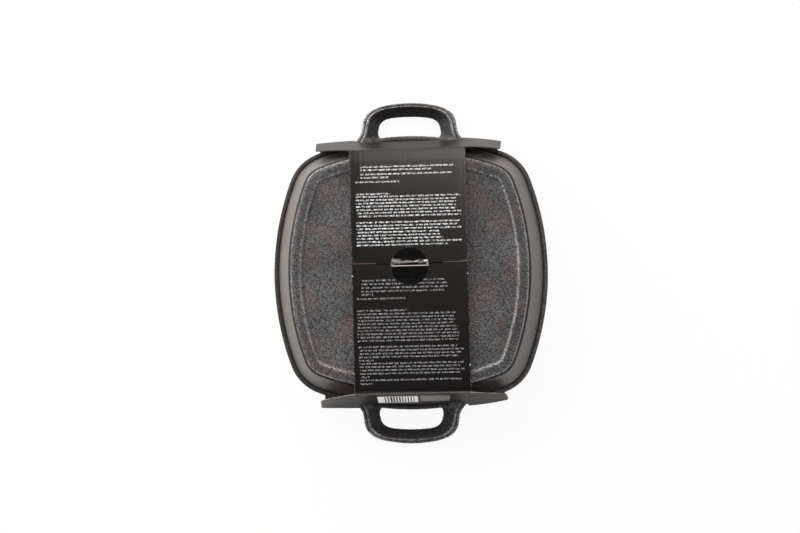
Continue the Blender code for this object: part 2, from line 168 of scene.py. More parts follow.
camera_data = bpy.data.cameras.new("camera")
camera_data.sensor_width = 36
camera_data.lens = CAMERA_LENS
camera = add_object("camera", camera_data)
camera.location = CAMERA_PLACE
camera.rotation_euler = Euler([math.radians(a) for a in CAMERA_TILT], "XYZ")
bpy.context.scene.camera = camera
print("camera looks along", [round(v, 3) for v in camera.matrix_world.to_3x3() @ Vector((0, 0, -1))])

# %% [markdown]
# The body of the pan is one skin that runs from the base plate over the base ring, down
# the wall, round the lip and up the inside to the cooking floor. It could be sculpted, or
# cut from a block with a subdivision surface on top. Here it is drawn as a section that is
# swept round a square outline, because that is how the pattern for the sand mould is made,
# and the lip and the ring then stay crisp. The outer sizes come from the frame.

# %% Sizes of the casting
pan_low, pan_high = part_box("pan_casting")
BODY_HALF = pan_high.x
RIM_Z = pan_low.z
RING_TOP_Z = pan_high.z
HANDLE_END = pan_high.y
SIDE_BOW_RADIUS = 258 * MM
LIP_CORNER_RADIUS = 44 * MM
LIP_WIDTH = 4.5 * MM
LIP_THICKNESS = 6 * MM
LIP_ROUNDING = 1.4 * MM
WALL_THICKNESS = 4.6 * MM
WALL_HOLLOW = 0.5 * MM
WALL_DRAFT = 21.5  # degrees
GROOVE = 0.5 * MM  # where the ring and the lip meet the wall
RING_HEIGHT = 6.3 * MM
RING_STEP = 2.0 * MM
RING_WIDTH = 11.2 * MM
RING_OUTER_ROUND = 4.6 * MM
RING_OUTER_DROP = 3.2 * MM
RING_INNER_ROUND = 3.4 * MM
RING_INNER_LEAN = 0.85 * MM
RING_CORNER_RADIUS = 24 * MM
PLATE_CORNER_RADIUS = 9 * MM
PLATE_RECESS = 2.3 * MM
FLOOR_THICKNESS = 4.8 * MM
FLOOR_FILLET = 6 * MM

LIP_TOP_Z = RIM_Z + LIP_THICKNESS
RING_FOOT_Z = RING_TOP_Z - RING_HEIGHT
PLATE_Z = RING_TOP_Z - PLATE_RECESS
FLOOR_Z = PLATE_Z - FLOOR_THICKNESS
WALL_TOP_HALF = BODY_HALF - LIP_WIDTH
WALL_RISE = RING_FOOT_Z - LIP_TOP_Z
WALL_FOOT_HALF = WALL_TOP_HALF - WALL_HOLLOW - WALL_RISE * math.tan(math.radians(WALL_DRAFT))
RING_OUTER_HALF = WALL_FOOT_HALF - RING_STEP
PLATE_HALF = RING_OUTER_HALF - RING_WIDTH
SIDE_CENTRE_OFFSET = SIDE_BOW_RADIUS - BODY_HALF

GRID_RINGS = 84  # square rings of the base plate
ROUND_POINTS = 8 * GRID_RINGS  # points round every level of the skin
print(f"base plate {2 * PLATE_HALF / MM:.1f} mm wide, {ROUND_POINTS} points round")


# %% [markdown]
# Every level of the skin is a square with bowed sides and round corners. The points are
# spaced evenly along it, and they start at the middle of a corner. So the outermost ring
# of the base plate, which is a plain square grid bent to that outline, fits the first
# level of the section point for point, and the whole skin is made of four-sided faces.

# %% Outline and section
def outline(half, corner_radius, count=ROUND_POINTS):
    """Evenly spaced points (x, y) of the bowed square, anticlockwise from a corner's middle."""
    side_radius = half + SIDE_CENTRE_OFFSET
    reach = side_radius - corner_radius
    centre = (math.sqrt(2 * reach**2 - SIDE_CENTRE_OFFSET**2) - SIDE_CENTRE_OFFSET) / 2
    turn = math.atan2(centre, centre + SIDE_CENTRE_OFFSET)
    side_length = side_radius * turn
    corner_length = corner_radius * (math.pi / 4 - turn)
    along = np.linspace(-1, 1, count // 4, endpoint=False) * (side_length + corner_length)
    over = np.maximum(np.abs(along) - side_length, 0)
    side_angle = np.clip(along, -side_length, side_length) / side_radius
    corner_angle = turn + over / corner_radius
    on_side = over == 0
    x = np.where(
        on_side,
        side_radius * np.cos(side_angle) - SIDE_CENTRE_OFFSET,
        centre + corner_radius * np.cos(corner_angle),
    )
    y = np.where(
        on_side,
        side_radius * np.sin(side_angle),
        np.sign(along) * (centre + corner_radius * np.sin(corner_angle)),
    )
    return np.concatenate([np.c_[x, y], np.c_[-y, x], np.c_[-x, -y], np.c_[y, -x]])


def curve(start, corner, end, steps):
    """Points of a bend from start to end, drawn towards corner. The start is left out."""
    t = np.linspace(0, 1, steps + 1)[1:, None]
    start, corner, end = map(np.array, (start, corner, end))
    return list((1 - t) ** 2 * start + 2 * t * (1 - t) * corner + t**2 * end)


def straight(start, end, steps):
    """Points of a straight stretch. The start is left out."""
    t = np.linspace(0, 1, steps + 1)[1:, None]
    return list(np.array(start) + (np.array(end) - np.array(start)) * t)


def casting_section():
    """(half size, height, corner radius) of each level, from the base plate's edge inwards."""
    lip_corner, ring_corner = LIP_CORNER_RADIUS, RING_CORNER_RADIUS
    wall_corner = lip_corner - LIP_WIDTH
    wall_top = WALL_TOP_HALF - WALL_HOLLOW
    ring_half = RING_OUTER_HALF
    flat_inner = PLATE_HALF + RING_INNER_ROUND
    flat_outer = ring_half - RING_OUTER_ROUND
    lip_flat = BODY_HALF - LIP_ROUNDING
    lip_flat_corner = lip_corner - LIP_ROUNDING
    rim_half = WALL_TOP_HALF + LIP_ROUNDING - WALL_THICKNESS
    rim_corner = wall_corner + LIP_ROUNDING - WALL_THICKNESS
    foot_z = FLOOR_Z - FLOOR_FILLET
    foot_share = (foot_z - LIP_TOP_Z) / WALL_RISE
    foot_half = wall_top + (WALL_FOOT_HALF - wall_top) * foot_share - WALL_THICKNESS
    foot_corner = ring_corner - WALL_THICKNESS
    floor_corner = foot_corner - FLOOR_FILLET
    groove_z = LIP_TOP_Z - GROOVE

    # a bend has the corner it is drawn towards, its end and its steps; a straight stretch has no corner
    stretches = (
        (
            (PLATE_HALF + RING_INNER_LEAN, RING_TOP_Z, PLATE_CORNER_RADIUS),
            (flat_inner, RING_TOP_Z, PLATE_CORNER_RADIUS + RING_INNER_ROUND),
            5,
        ),
        ((flat_outer, RING_TOP_Z, ring_corner - RING_OUTER_ROUND), 3),
        ((ring_half, RING_TOP_Z, ring_corner), (ring_half, RING_TOP_Z - RING_OUTER_DROP, ring_corner), 7),
        ((ring_half, RING_FOOT_Z + GROOVE, ring_corner), 2),
        ((ring_half, RING_FOOT_Z, ring_corner), (ring_half + 2 * GROOVE, RING_FOOT_Z, ring_corner), 3),
        (
            (WALL_FOOT_HALF, RING_FOOT_Z, ring_corner),
            (WALL_FOOT_HALF + GROOVE / 2, RING_FOOT_Z - GROOVE, ring_corner),
            3,
        ),
        ((wall_top - GROOVE / 2, LIP_TOP_Z + GROOVE, wall_corner), 24),
        ((wall_top, groove_z, wall_corner), (WALL_TOP_HALF, groove_z, wall_corner), 4),
        (
            (WALL_TOP_HALF + GROOVE, groove_z, wall_corner + GROOVE),
            (WALL_TOP_HALF + 2 * GROOVE, LIP_TOP_Z, wall_corner + GROOVE),
            3,
        ),
        ((lip_flat, LIP_TOP_Z, lip_flat_corner), 2),
        ((BODY_HALF, LIP_TOP_Z, lip_corner), (BODY_HALF, LIP_TOP_Z - LIP_ROUNDING, lip_corner), 4),
        ((BODY_HALF, RIM_Z + LIP_ROUNDING, lip_corner), 2),
        ((BODY_HALF, RIM_Z, lip_corner), (lip_flat, RIM_Z, lip_flat_corner), 4),
        ((rim_half + LIP_ROUNDING, RIM_Z, rim_corner + LIP_ROUNDING), 3),
        ((rim_half, RIM_Z, rim_corner), (rim_half, RIM_Z + LIP_ROUNDING, rim_corner), 4),
        ((foot_half, foot_z, foot_corner), 12),
        ((foot_half, FLOOR_Z, foot_corner), (foot_half - FLOOR_FILLET, FLOOR_Z, floor_corner), 6),
    )
    levels = [np.array((PLATE_HALF, PLATE_Z, PLATE_CORNER_RADIUS))]
    for *through, steps in stretches:
        draw = straight if len(through) == 1 else curve
        levels += draw(levels[-1], *through, steps)
    return levels


section = casting_section()
print(f"{len(section)} levels, from the plate at {PLATE_Z / MM:.1f} mm to the floor at {FLOOR_Z / MM:.1f} mm")


# %% The skin of the body
def casting_skin():
    """The body as one closed skin, with a square grid on the base plate."""
    side = 2 * GRID_RINGS + 1
    edge = outline(section[0][0], section[0][2])
    closed = np.vstack([edge, edge[:1]])
    shares = np.linspace(0, 1, ROUND_POINTS + 1)
    points, number = [], {}
    for half, height, corner in section:
        points += [(x, y, height) for x, y in outline(half, corner)]
    for ring in range(GRID_RINGS + 1):
        for i in range(-ring, ring + 1):
            for j in range(-ring, ring + 1) if abs(i) == ring else (-ring, ring):
                if i == ring and j < ring:
                    step = j + ring
                elif j == ring and i > -ring:
                    step = 2 * ring + ring - i
                elif i == -ring and j > -ring:
                    step = 4 * ring + ring - j
                else:
                    step = 6 * ring + ring + i
                if ring == GRID_RINGS:
                    number[i, j] = step
                    continue
                share = step / (8 * ring) if ring else 0.0
                x = np.interp(share, shares, closed[:, 0]) * ring / GRID_RINGS
                y = np.interp(share, shares, closed[:, 1]) * ring / GRID_RINGS
                number[i, j] = len(points)
                points.append((x, y, PLATE_Z))
    faces = []
    span = range(-GRID_RINGS, GRID_RINGS)
    for i in span:
        for j in span:
            faces.append((number[i, j], number[i + 1, j], number[i + 1, j + 1], number[i, j + 1]))
    faces += joined_rings(len(section), ROUND_POINTS)
    last = (len(section) - 1) * ROUND_POINTS
    faces.append(tuple(range(last, last + ROUND_POINTS)))
    print(f"body skin: {len(points)} points, {side * side} of them on the plate's grid")
    return mesh_from("cast_pan", points, faces)


pan = add_object("cast_pan", casting_skin())

# %% [markdown]
# Each handle is a loop cast with the body. Its section has a flat strip along the outer
# edge, a fine step, and a crown that falls away to the finger gap. A curve with a bevel
# profile would twist that section in the corners, so here the section is stretched
# between two edge lines, the loop's outer edge and the gap's, one station after another.

# %% Handles
HANDLE_WIDTH = 94 * MM
HANDLE_ROOT_DEPTH = 10 * MM
HANDLE_ROOT_FLARE = 11 * MM
HANDLE_FILLET = 5.6 * MM
HANDLE_LEG_LEAN = 0.8 * MM
HANDLE_CORNER = 20 * MM
HANDLE_END_BOW = 2.8 * MM
GRIP_GAP_WIDTH = 62 * MM
GRIP_GAP_REACH = 19.3 * MM
GRIP_GAP_CORNER = 13.5 * MM
GRIP_GAP_BOW = 0.9 * MM
GRIP_GAP_FILLET = 6 * MM
HANDLE_THICKNESS = 9.6 * MM
HANDLE_SETBACK = 0.4 * MM
HANDLE_SECTION = (
    # share of the way from the outer edge to the gap, share of the thickness
    (0.00, 0.14), (0.00, 0.52), (0.02, 0.66), (0.06, 0.73), (0.12, 0.75), (0.165, 0.73),
    (0.185, 0.68), (0.205, 0.80), (0.24, 0.94), (0.29, 1.00), (0.35, 0.98), (0.60, 0.74),
    (0.86, 0.44), (0.96, 0.34), (1.00, 0.28), (1.00, 0.14), (0.95, 0.03), (0.86, 0.00),
    (0.50, 0.00), (0.14, 0.00), (0.05, 0.03),
)


def cut_corners(points, times):
    """Rounds a closed line of points by cutting its corners again and again."""
    points = np.array(points, float)
    for _ in range(times):
        after = np.roll(points, -1, axis=0)
        points = np.stack([0.75 * points + 0.25 * after, 0.25 * points + 0.75 * after], 1).reshape(-1, 2)
    return points


def loop_edge(half_width, flare, side_y, end_y, corner, bow):
    """One edge line of the loop, from root to root, softened where its stretches meet."""
    root_y = BODY_HALF - HANDLE_ROOT_DEPTH
    leg_end = half_width - HANDLE_LEG_LEAN
    crown = leg_end - corner
    drop = bow + 2 * bow * corner / crown
    half = [np.array((half_width + flare, root_y))]
    half += curve(half[-1], (half_width, (root_y + 2 * side_y) / 3), (half_width, side_y), 16)
    half += straight(half[-1], (leg_end, end_y - drop - 0.8 * corner), 5)
    half += curve(half[-1], (leg_end, end_y - drop), (crown, end_y - bow), 26)
    half += curve(half[-1], (crown / 2, end_y), (0.0, end_y), 20)
    line = np.array(half + [(-x, y) for x, y in half[-2::-1]])
    for _ in range(6):
        line[1:-1] += (line[:-2] + line[2:] - 2 * line[1:-1]) / 4
    return line


def handle_form(direction):
    """A loop handle, on the side where direction points along Y."""
    leg_foot = BODY_HALF + HANDLE_FILLET
    gap_end = BODY_HALF + GRIP_GAP_REACH
    outer = loop_edge(
        HANDLE_WIDTH / 2, HANDLE_ROOT_FLARE, leg_foot, HANDLE_END, HANDLE_CORNER, HANDLE_END_BOW
    )
    inner = loop_edge(GRIP_GAP_WIDTH / 2, -GRIP_GAP_FILLET, leg_foot, gap_end, GRIP_GAP_CORNER, GRIP_GAP_BOW)
    shape = cut_corners(HANDLE_SECTION, 1)
    base = RIM_Z + HANDLE_SETBACK
    points = []
    for out, into in zip(outer, inner):
        for across, up in shape:
            x, y = out + (into - out) * across
            points.append((x, direction * y, base + HANDLE_THICKNESS * up))
    count = len(shape)
    faces = [tuple(range(count)), tuple(range(len(points) - count, len(points)))]
    faces += joined_rings(len(outer), count)
    print(f"handle: {len(outer)} stations of {count} points")
    return mesh_from("handle_form", points, faces)


# %% [markdown]
# The ribs stand on the cooking floor, which faces down. They are tapered bars with a
# round crest and a hollow at the foot, where the sand mould was filleted.

# %% Grill ribs
RIB_PITCH = 15 * MM
RIB_END_SPACE = 6 * MM
RIB_SECTION = (
    # half width and height in mm, from the foot to the crest, which is 5 mm high
    (3.3, -0.6), (3.3, 0.0), (2.6, 0.3), (2.2, 1.0), (1.8, 3.4), (1.5, 4.5), (0.8, 5.0),
)


def rib_forms():
    """All ribs as one mesh of separate bars."""
    half = section[-1][0] - RIB_END_SPACE
    edge = outline(half, section[-1][2])
    upper = edge[edge[:, 1] > 0]
    upper = upper[np.argsort(upper[:, 0])]
    each_side = int(half / RIB_PITCH)
    points, faces = [], []
    for rib in range(-each_side, each_side + 1):
        middle = rib * RIB_PITCH
        reach = np.interp(abs(middle), upper[:, 0], upper[:, 1])
        first = len(points)
        for width, height in RIB_SECTION:
            # the ends slope in towards the crest, and the crest's own end is a little rounder
            end = reach - max(height, 0) * MM + (1.5 * MM if height > 4 else 2 * MM)
            z = FLOOR_Z - height * MM
            width *= MM
            for x, y in ((-width, -end), (width, -end), (width, end), (-width, end)):
                points.append((middle + x, y, z))
        levels = len(RIB_SECTION)
        faces.append(tuple(first + n for n in range(4)))
        faces.append(tuple(first + 4 * (levels - 1) + n for n in range(4)))
        faces += joined_rings(levels, 4, first)
    print(f"{2 * each_side + 1} ribs, {RIB_PITCH / MM:.0f} mm apart")
    return mesh_from("rib_forms", points, faces)


# %% [markdown]
# Body, handles and ribs come out of one mould, so they are fused with Boolean unions.
# A union leaves a hard line where a handle meets the lip. A founder fillets that line,
# because sharp inner corners tear when iron shrinks. Here the points near the line are
# relaxed towards their neighbours, which melts the line into a fillet.

# %% Fuse the casting
FILLET_REACH = 4.5 * MM
FILLET_ROUNDS = 14
MERGE_DISTANCE = 0.05 * MM
ON_LINE = 0.03 * MM
JOINT_X, JOINT_Y = 0.5 * BODY_HALF, 0.9 * BODY_HALF  # the handles join the lip within this x and past this y


def fuse(target, forms):
    """Unites forms with the target and returns the new mesh."""
    for form in forms:
        union = target.modifiers.new(form.name, "BOOLEAN")
        union.operation = "UNION"
        union.solver = "EXACT"
        union.object = form
    graph = bpy.context.evaluated_depsgraph_get()
    return bpy.data.meshes.new_from_object(target.evaluated_get(graph))


def surface_tree(mesh):
    """A search tree over the mesh's faces."""
    return BVHTree.FromPolygons([v.co for v in mesh.vertices], [p.vertices for p in mesh.polygons])


def melt_joint(mesh, trees):
    """Relaxes the points that lie near both surfaces, those of the body and of the handles."""
    work = bmesh.new()
    work.from_mesh(mesh)
    bmesh.ops.remove_doubles(work, verts=work.verts, dist=MERGE_DISTANCE)
    near = [v for v in work.verts if abs(v.co.y) > JOINT_Y and abs(v.co.x) < JOINT_X]
    on_line = [v for v in near if all(tree.find_nearest(v.co)[3] < ON_LINE for tree in trees)]
    finder = KDTree(len(on_line))
    for index, vert in enumerate(on_line):
        finder.insert(vert.co, index)
    finder.balance()
    zone = [v for v in near if finder.find(v.co)[2] < FILLET_REACH]
    faces = [f for f in each_once(f for v in zone for f in v.link_faces) if len(f.verts) > 4]
    bmesh.ops.triangulate(work, faces=faces)
    for _ in range(FILLET_ROUNDS):
        bmesh.ops.smooth_vert(work, verts=zone, factor=0.5, use_axis_x=True, use_axis_y=True, use_axis_z=True)
    print(f"joint line: {len(on_line)} points, {len(zone)} relaxed")
    work.to_mesh(mesh)
    work.free()


handles = [add_object(f"handle_{n}", handle_form(direction)) for n, direction in enumerate((1, -1))]
ribs = add_object("ribs", rib_forms())
body_tree = surface_tree(pan.data)
handle_trees = [surface_tree(h.data) for h in handles]
fused = fuse(pan, handles + [ribs])
pan.modifiers.clear()
pan.data = fused
for handle_tree in handle_trees:
    melt_joint(fused, (body_tree, handle_tree))
for form in handles + [ribs]:
    bpy.data.objects.remove(form)
print(f"fused casting: {len(fused.vertices)} points, {len(fused.polygons)} faces")

# %% [markdown]
# Sand leaves its grain on iron. The base, its ring and the handles are as they left the
# mould: low swells a few centimetres long, with pebbles of about 2 mm on them. The wall is
# smoother, because its mould was blackened. Both are moved into the mesh here, so that
# they show at the edges and in shadow, and only the finest grain is left to the material.
# Three attributes are kept for the material: the amount of grain, how sharply the surface
# bends, and how thick the oil lies, which also paints shade on the finger-gap faces and on
# the lip. Edges that hands and the card rub are kept sharp and are painted pale, for wear and
# as painted highlight, most on the ring's shoulders and weaker on the left outer one. Other
# hollows are painted a little dark, for dirt and as shade, and the grooves at the ring's foot
# and beside the lip are painted dark as shade.

# %% Sizes of the relief, the wear and the painted light
SWELL_SIZE, SWELL_HEIGHT = 38.0, 0.18  # mm
PEBBLE_SIZE, PEBBLE_HEIGHT = 2.0, 0.12
RELIEF_LIMIT = 0.2 * MM
WALL_GRAIN, LIP_GRAIN = 0.22, 0.85
# the lip's share is painted shade, stronger towards the left; the ring's is a thicker film
LIP_PAINTED_SHADE, RING_OIL = 0.4, 0.3
ON_HANDLE_HALF = 0.45 * BODY_HALF
ROOT_FADE = 3 * MM
WALL_END_Z = RING_FOOT_Z - 0.5 * MM
RING_FLAT_Z = RING_TOP_Z - 0.05 * MM
INNER_SHOULDER = (PLATE_Z + 0.3 * MM, RING_TOP_Z - 0.1 * MM)  # the heights between which it lies
OUTER_SHOULDER = (RING_TOP_Z - RING_OUTER_DROP, RING_TOP_Z - 0.6 * MM)
BARE_WALL = (LIP_TOP_Z + 3 * MM, PLATE_Z - 1 * MM)
LIP_GROOVE, RING_GROOVE = 0.7 * MM, 0.8 * MM  # half heights of the grooves that are painted dark as shade
# painted shade: the bend given to those grooves, which paints them dark
GROOVE_PAINTED_SHADE = -0.6  # 1/mm
# painted highlight on the ring's shoulders: pale all round the inner one, and on the outer one weaker on the
# left
INNER_SHOULDER_HIGHLIGHT, OUTER_SHOULDER_HIGHLIGHT, LEFT_SHOULDER_HIGHLIGHT = 0.5, 0.6, 0.2
LEFT_SHOULDER_X = -96 * MM
HOLLOW_SHARE = 0.25
# how pale the convex edges are painted, for wear and as painted highlight
RING_WEAR_AND_HIGHLIGHT, BODY_WEAR_AND_HIGHLIGHT, HANDLE_WEAR_AND_HIGHLIGHT, LEG_WEAR_AND_HIGHLIGHT = 0.85, 0.15, 0.15, 0.75
LEG_START, LEG_FADE = 26 * MM, 8 * MM
GAP_MIDDLE = BODY_HALF + 9 * MM
GAP_LEAN, GAP_LEAN_FADE = 0.04, 0.2
SHORT_EDGE_SQUARE = 0.04  # mm squared: a shorter edge counts as this one, or it would look sharp
print(f"swells of {SWELL_HEIGHT} mm and pebbles of {PEBBLE_HEIGHT} mm")


# %% Where the casting is grainy, oily, worn, and painted with shade and highlights
def on_handle(x, y):
    """1 on the handles, fading out over the fillet at their roots."""
    return clamped((abs(y) - BODY_HALF) / ROOT_FADE + 1) if abs(x) < ON_HANDLE_HALF else 0.0


def grain_amount(x, y, z):
    """1 where the casting is pebbly, less on the wall and the lip."""
    if z > WALL_END_Z:
        return 1.0
    body = WALL_GRAIN if z > LIP_TOP_Z + 1 * MM else LIP_GRAIN
    return body + (1 - body) * on_handle(x, y)


def bend_of(mesh, places, normals):
    """How sharply the surface bends at each point, in 1/mm: above 0 on edges, below 0 in hollows."""
    ends = np.zeros(2 * len(mesh.edges), int)
    mesh.edges.foreach_get("vertices", ends)
    first, second = ends.reshape(-1, 2).T
    along = (places[second] - places[first]) / MM
    turned = normals[second] - normals[first]
    bend = (turned * along).sum(1) / np.maximum((along**2).sum(1), SHORT_EDGE_SQUARE)
    sharpest, hollow = np.zeros(len(places)), np.zeros(len(places))
    for here in (first, second):
        np.maximum.at(sharpest, here, bend)
        np.minimum.at(hollow, here, bend)
    return sharpest + hollow


def faces_gap(place, normal):
    """1 on the faces of the handles that look into the finger gap."""
    gap = Vector((0.0, math.copysign(GAP_MIDDLE, place[1]), place[2])) - Vector(place)
    lean = Vector(normal).dot(gap.normalized())
    return on_handle(place[0], place[1]) * clamped((lean - GAP_LEAN) / GAP_LEAN_FADE)


def wear_and_highlight(x, y, z):
    """How pale the edges there are painted, for wear and as painted highlight: most on the ring, and on the
    legs, in the card's slots.
    """
    if z > WALL_END_Z:
        return RING_WEAR_AND_HIGHLIGHT
    legs = clamped((abs(x) - LEG_START) / LEG_FADE)
    return BODY_WEAR_AND_HIGHLIGHT + on_handle(x, y) * (HANDLE_WEAR_AND_HIGHLIGHT + LEG_WEAR_AND_HIGHLIGHT * legs)


def kept_bend(bend, place, normal):
    """The bend that the colour follows: painted highlight on the ring's shoulders, weaker on the left outer
    one, and painted shade in the grooves at its foot and beside the lip.
    """
    x, y, z = place
    in_lip_groove = abs(z - LIP_TOP_Z) < LIP_GROOVE and bend < 0 and not on_handle(x, y)
    # painted shade: the grooves at the ring's foot and beside the lip are made dark
    if abs(z - RING_FOOT_Z) < RING_GROOVE or in_lip_groove:
        return GROOVE_PAINTED_SHADE
    # painted highlight: the ring's shoulders are made pale
    slopes_out = normal[0] * x + normal[1] * y > 0
    if INNER_SHOULDER[0] < z < INNER_SHOULDER[1] and not slopes_out:
        return INNER_SHOULDER_HIGHLIGHT
    if OUTER_SHOULDER[0] < z < OUTER_SHOULDER[1] and slopes_out and normal[2] < 0.95:
        return OUTER_SHOULDER_HIGHLIGHT if x > LEFT_SHOULDER_X else LEFT_SHOULDER_HIGHLIGHT
    if bend > 0:
        return bend * wear_and_highlight(x, y, z)
    return bend * (1.0 if BARE_WALL[0] < z < BARE_WALL[1] else HOLLOW_SHARE)


def oil_and_painted_shade(place, normal):
    """Where the film is painted thick and dark: as painted shade on the handle faces that look into the
    finger gaps and on the lip, most on its left, and as a thicker film on the flat of the ring.
    """
    if place[2] > RING_FLAT_Z:
        return RING_OIL
    # painted shade on the finger-gap faces and on the lip, darker towards the left
    on_lip = (place[2] < LIP_TOP_Z + LIP_GROOVE) * (1 - on_handle(*place[:2]))
    return max(faces_gap(place, normal), LIP_PAINTED_SHADE * on_lip * (1 - place[0] / BODY_HALF))


# %% Raise the sand
def raise_sand(mesh):
    """Moves each point along its normal by the swell and the pebbles, and keeps the attributes."""
    count = len(mesh.vertices)
    places, normals = np.zeros(3 * count), np.zeros(3 * count)
    mesh.vertices.foreach_get("co", places)
    mesh.vertex_normals.foreach_get("vector", normals)
    places, normals = places.reshape(-1, 3), normals.reshape(-1, 3)
    bend = bend_of(mesh, places, normals)
    grain, oil_and_shade, height = np.zeros(count), np.zeros(count), np.zeros(count)
    for index, place in enumerate(places):
        spot = Vector(place)
        grain[index] = grain_amount(*place)
        oil_and_shade[index] = oil_and_painted_shade(place, normals[index])
        bend[index] = kept_bend(bend[index], place, normals[index])
        swell = noise.noise(spot * per_mm(SWELL_SIZE))
        pebble = noise.noise(spot * per_mm(PEBBLE_SIZE)) + 0.5 * noise.noise(spot * per_mm(PEBBLE_SIZE / 2))
        height[index] = SWELL_HEIGHT * swell + PEBBLE_HEIGHT * pebble * grain[index]
    places += normals * (height * MM)[:, None]
    places[:, 2] = np.clip(places[:, 2], RIM_Z - RELIEF_LIMIT, RING_TOP_Z + RELIEF_LIMIT)
    mesh.vertices.foreach_set("co", places.ravel())
    for name, values in (("grain", grain), ("oil_and_shade", oil_and_shade), ("bend", bend)):
        kept = mesh.attributes.new(name, "FLOAT", "POINT")
        kept.data.foreach_set("value", values.astype(np.float32))
    mesh.update()
    print(f"relief from {height.min():.2f} to {height.max():.2f} mm")


raise_sand(fused)

# %% [markdown]
# Seasoned cast iron is grey iron under a skin of oil that was baked until it turned to a
# hard brown-black film. The film is no metal: it shines softly, like an eggshell, and it
# is a little thicker and browner where the oil pooled. So the shader is mostly dark
# colour with a plain dielectric shine, and only a little metal comes through. Moulding
# sand has grains of 0.2 to 0.3 mm. They would not show in the render, so the facets are
# drawn 0.9 mm wide and the bumps 1.1 mm.

# %% Material of the casting
OIL_POOLS = ((-94, 15, 17), (-78, 73, 15), (85, 44, 18), (70, -22, 20), (-100, -30, 16))  # x, y, radius, mm


def seasoned_cast_iron():
    """Iron under a baked-on film: black with brown pools, worn pale on its high grains; its edges are painted
    pale and its hollows dark, partly as painted highlight and painted shade.
    """
    made, tree, shader = start_material("seasoned_cast_iron")
    place = add_node(tree, "TexCoord").outputs["Object"]
    grain, oil_and_shade, bend = (
        add_node(tree, "Attribute", attribute_name=name).outputs["Fac"] for name in ("grain", "oil_and_shade", "bend")
    )

    # the film: black, with brown pools, and paler where it lies thin on the smooth wall
    pools = add_node(tree, "TexNoise", {"Vector": place, "Scale": per_mm(30), "Detail": 5.0})
    brown = add_node(tree, "MapRange", {"Value": pools, "From Min": 0.50, "From Max": 0.64})
    for x, y, radius in OIL_POOLS:
        away = add_node(tree, "VectorMath", {0: place, 1: (x * MM, y * MM, PLATE_Z)}, operation="DISTANCE")
        reach = {"Value": away, "From Min": radius * MM, "From Max": 0.0, "To Max": 1.6}
        near = add_node(tree, "Math", {0: add_node(tree, "MapRange", reach), 1: pools}, operation="MULTIPLY")
        brown = add_node(tree, "Math", {0: near, 1: brown}, operation="MAXIMUM")
    film = linear("#1a1818")
    film = add_node(tree, "Mix", {"Factor": brown, 6: film, 7: linear("#46291e")}, data_type="RGBA")
    film = add_node(tree, "Mix", {"Factor": grain, 6: linear("#6e6b69"), 7: film}, data_type="RGBA")
    # darker where the film lies thick, and there also as painted shade on the finger-gap faces and the lip
    film = add_node(tree, "Mix", {"Factor": oil_and_shade, 6: film, 7: linear("#0d0908")}, data_type="RGBA")

    # the sand grains, each a facet of its own: the high ones have worn paler, most where hands have been
    sand = add_node(tree, "TexNoise", {"Vector": place, "Scale": per_mm(1.1), "Detail": 2.0})
    facets = add_node(tree, "TexVoronoi", {"Vector": place, "Scale": per_mm(0.9)})
    facet = add_node(tree, "SeparateXYZ", {0: facets.outputs["Color"]})
    both = add_node(tree, "Math", {0: facet, 1: 0.45, 2: sand}, operation="MULTIPLY_ADD")
    high = add_node(tree, "MapRange", {"Value": both, "From Min": 0.56, "From Max": 0.92})
    thin = add_node(tree, "MapRange", {"Value": oil_and_shade, "To Min": 0.9, "To Max": 0.12})
    hands = add_node(tree, "TexNoise", {"Vector": place, "Scale": per_mm(45), "Detail": 2.0})
    spread = {"Value": hands, "From Min": 0.35, "From Max": 0.65, "To Min": 0.55, "To Max": 1.02}
    handled = add_node(tree, "MapRange", spread)
    worn = high
    for share in (thin, grain, handled):
        worn = add_node(tree, "Math", {0: worn, 1: share}, operation="MULTIPLY")

    # the edges are painted pale grey, grain by grain, for wear and as painted highlight; the hollows are
    # painted dark, for dirt and as painted shade, and the grooves at the ring's foot and beside the lip
    # darkest, as painted shade
    edge = add_node(tree, "MapRange", {"Value": bend, "From Min": 0.18, "From Max": 0.6})
    rubbed_and_highlight = add_node(tree, "Math", {0: edge, 1: high}, operation="MULTIPLY")
    hollow = add_node(tree, "MapRange", {"Value": bend, "From Min": -0.1, "From Max": -0.6, "To Max": 0.8})
    colour = film
    for share, shade in ((worn, "#74767a"), (rubbed_and_highlight, "#a9a9ad"), (hollow, "#17110f")):
        colour = add_node(tree, "Mix", {"Factor": share, 6: colour, 7: linear(shade)}, data_type="RGBA")

    # the high grains shine more than the low ones, and the rubbed edges most
    dull = add_node(tree, "MapRange", {"Value": high, "To Min": 0.54, "To Max": 0.34})
    roughness = add_node(tree, "Math", {0: rubbed_and_highlight, 1: -0.12, 2: dull}, operation="MULTIPLY_ADD")
    depth = add_node(tree, "Math", {0: grain, 1: 0.9, 2: 0.1}, operation="MULTIPLY_ADD")
    bump = add_node(tree, "Bump", {"Height": sand, "Strength": depth, "Distance": 0.7 * MM})
    fill(shader, {"Base Color": colour, "Metallic": 0.1, "Roughness": roughness, "Normal": bump})
    return made


fused.materials.append(seasoned_cast_iron())
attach(pan, "pan_in_sleeve")
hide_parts("pan_casting")

# %% [markdown]
# The sleeve is cut from micro-flute board: a printed outer liner, a kraft inner liner, and
# between them a wavy sheet whose flutes run the same way as the sleeve. It is 1.2 mm thick.
# A plain slab with a picture of flutes on its edge would look flat from close by, so each
# panel is built of its three sheets. A panel is drawn flat: u runs across it, v along it
# from its crease, and w through it, with the print at the top. A function then takes each
# point to its place. The cutting rule has crushed the flaps' side edges and the heads of
# the wings.

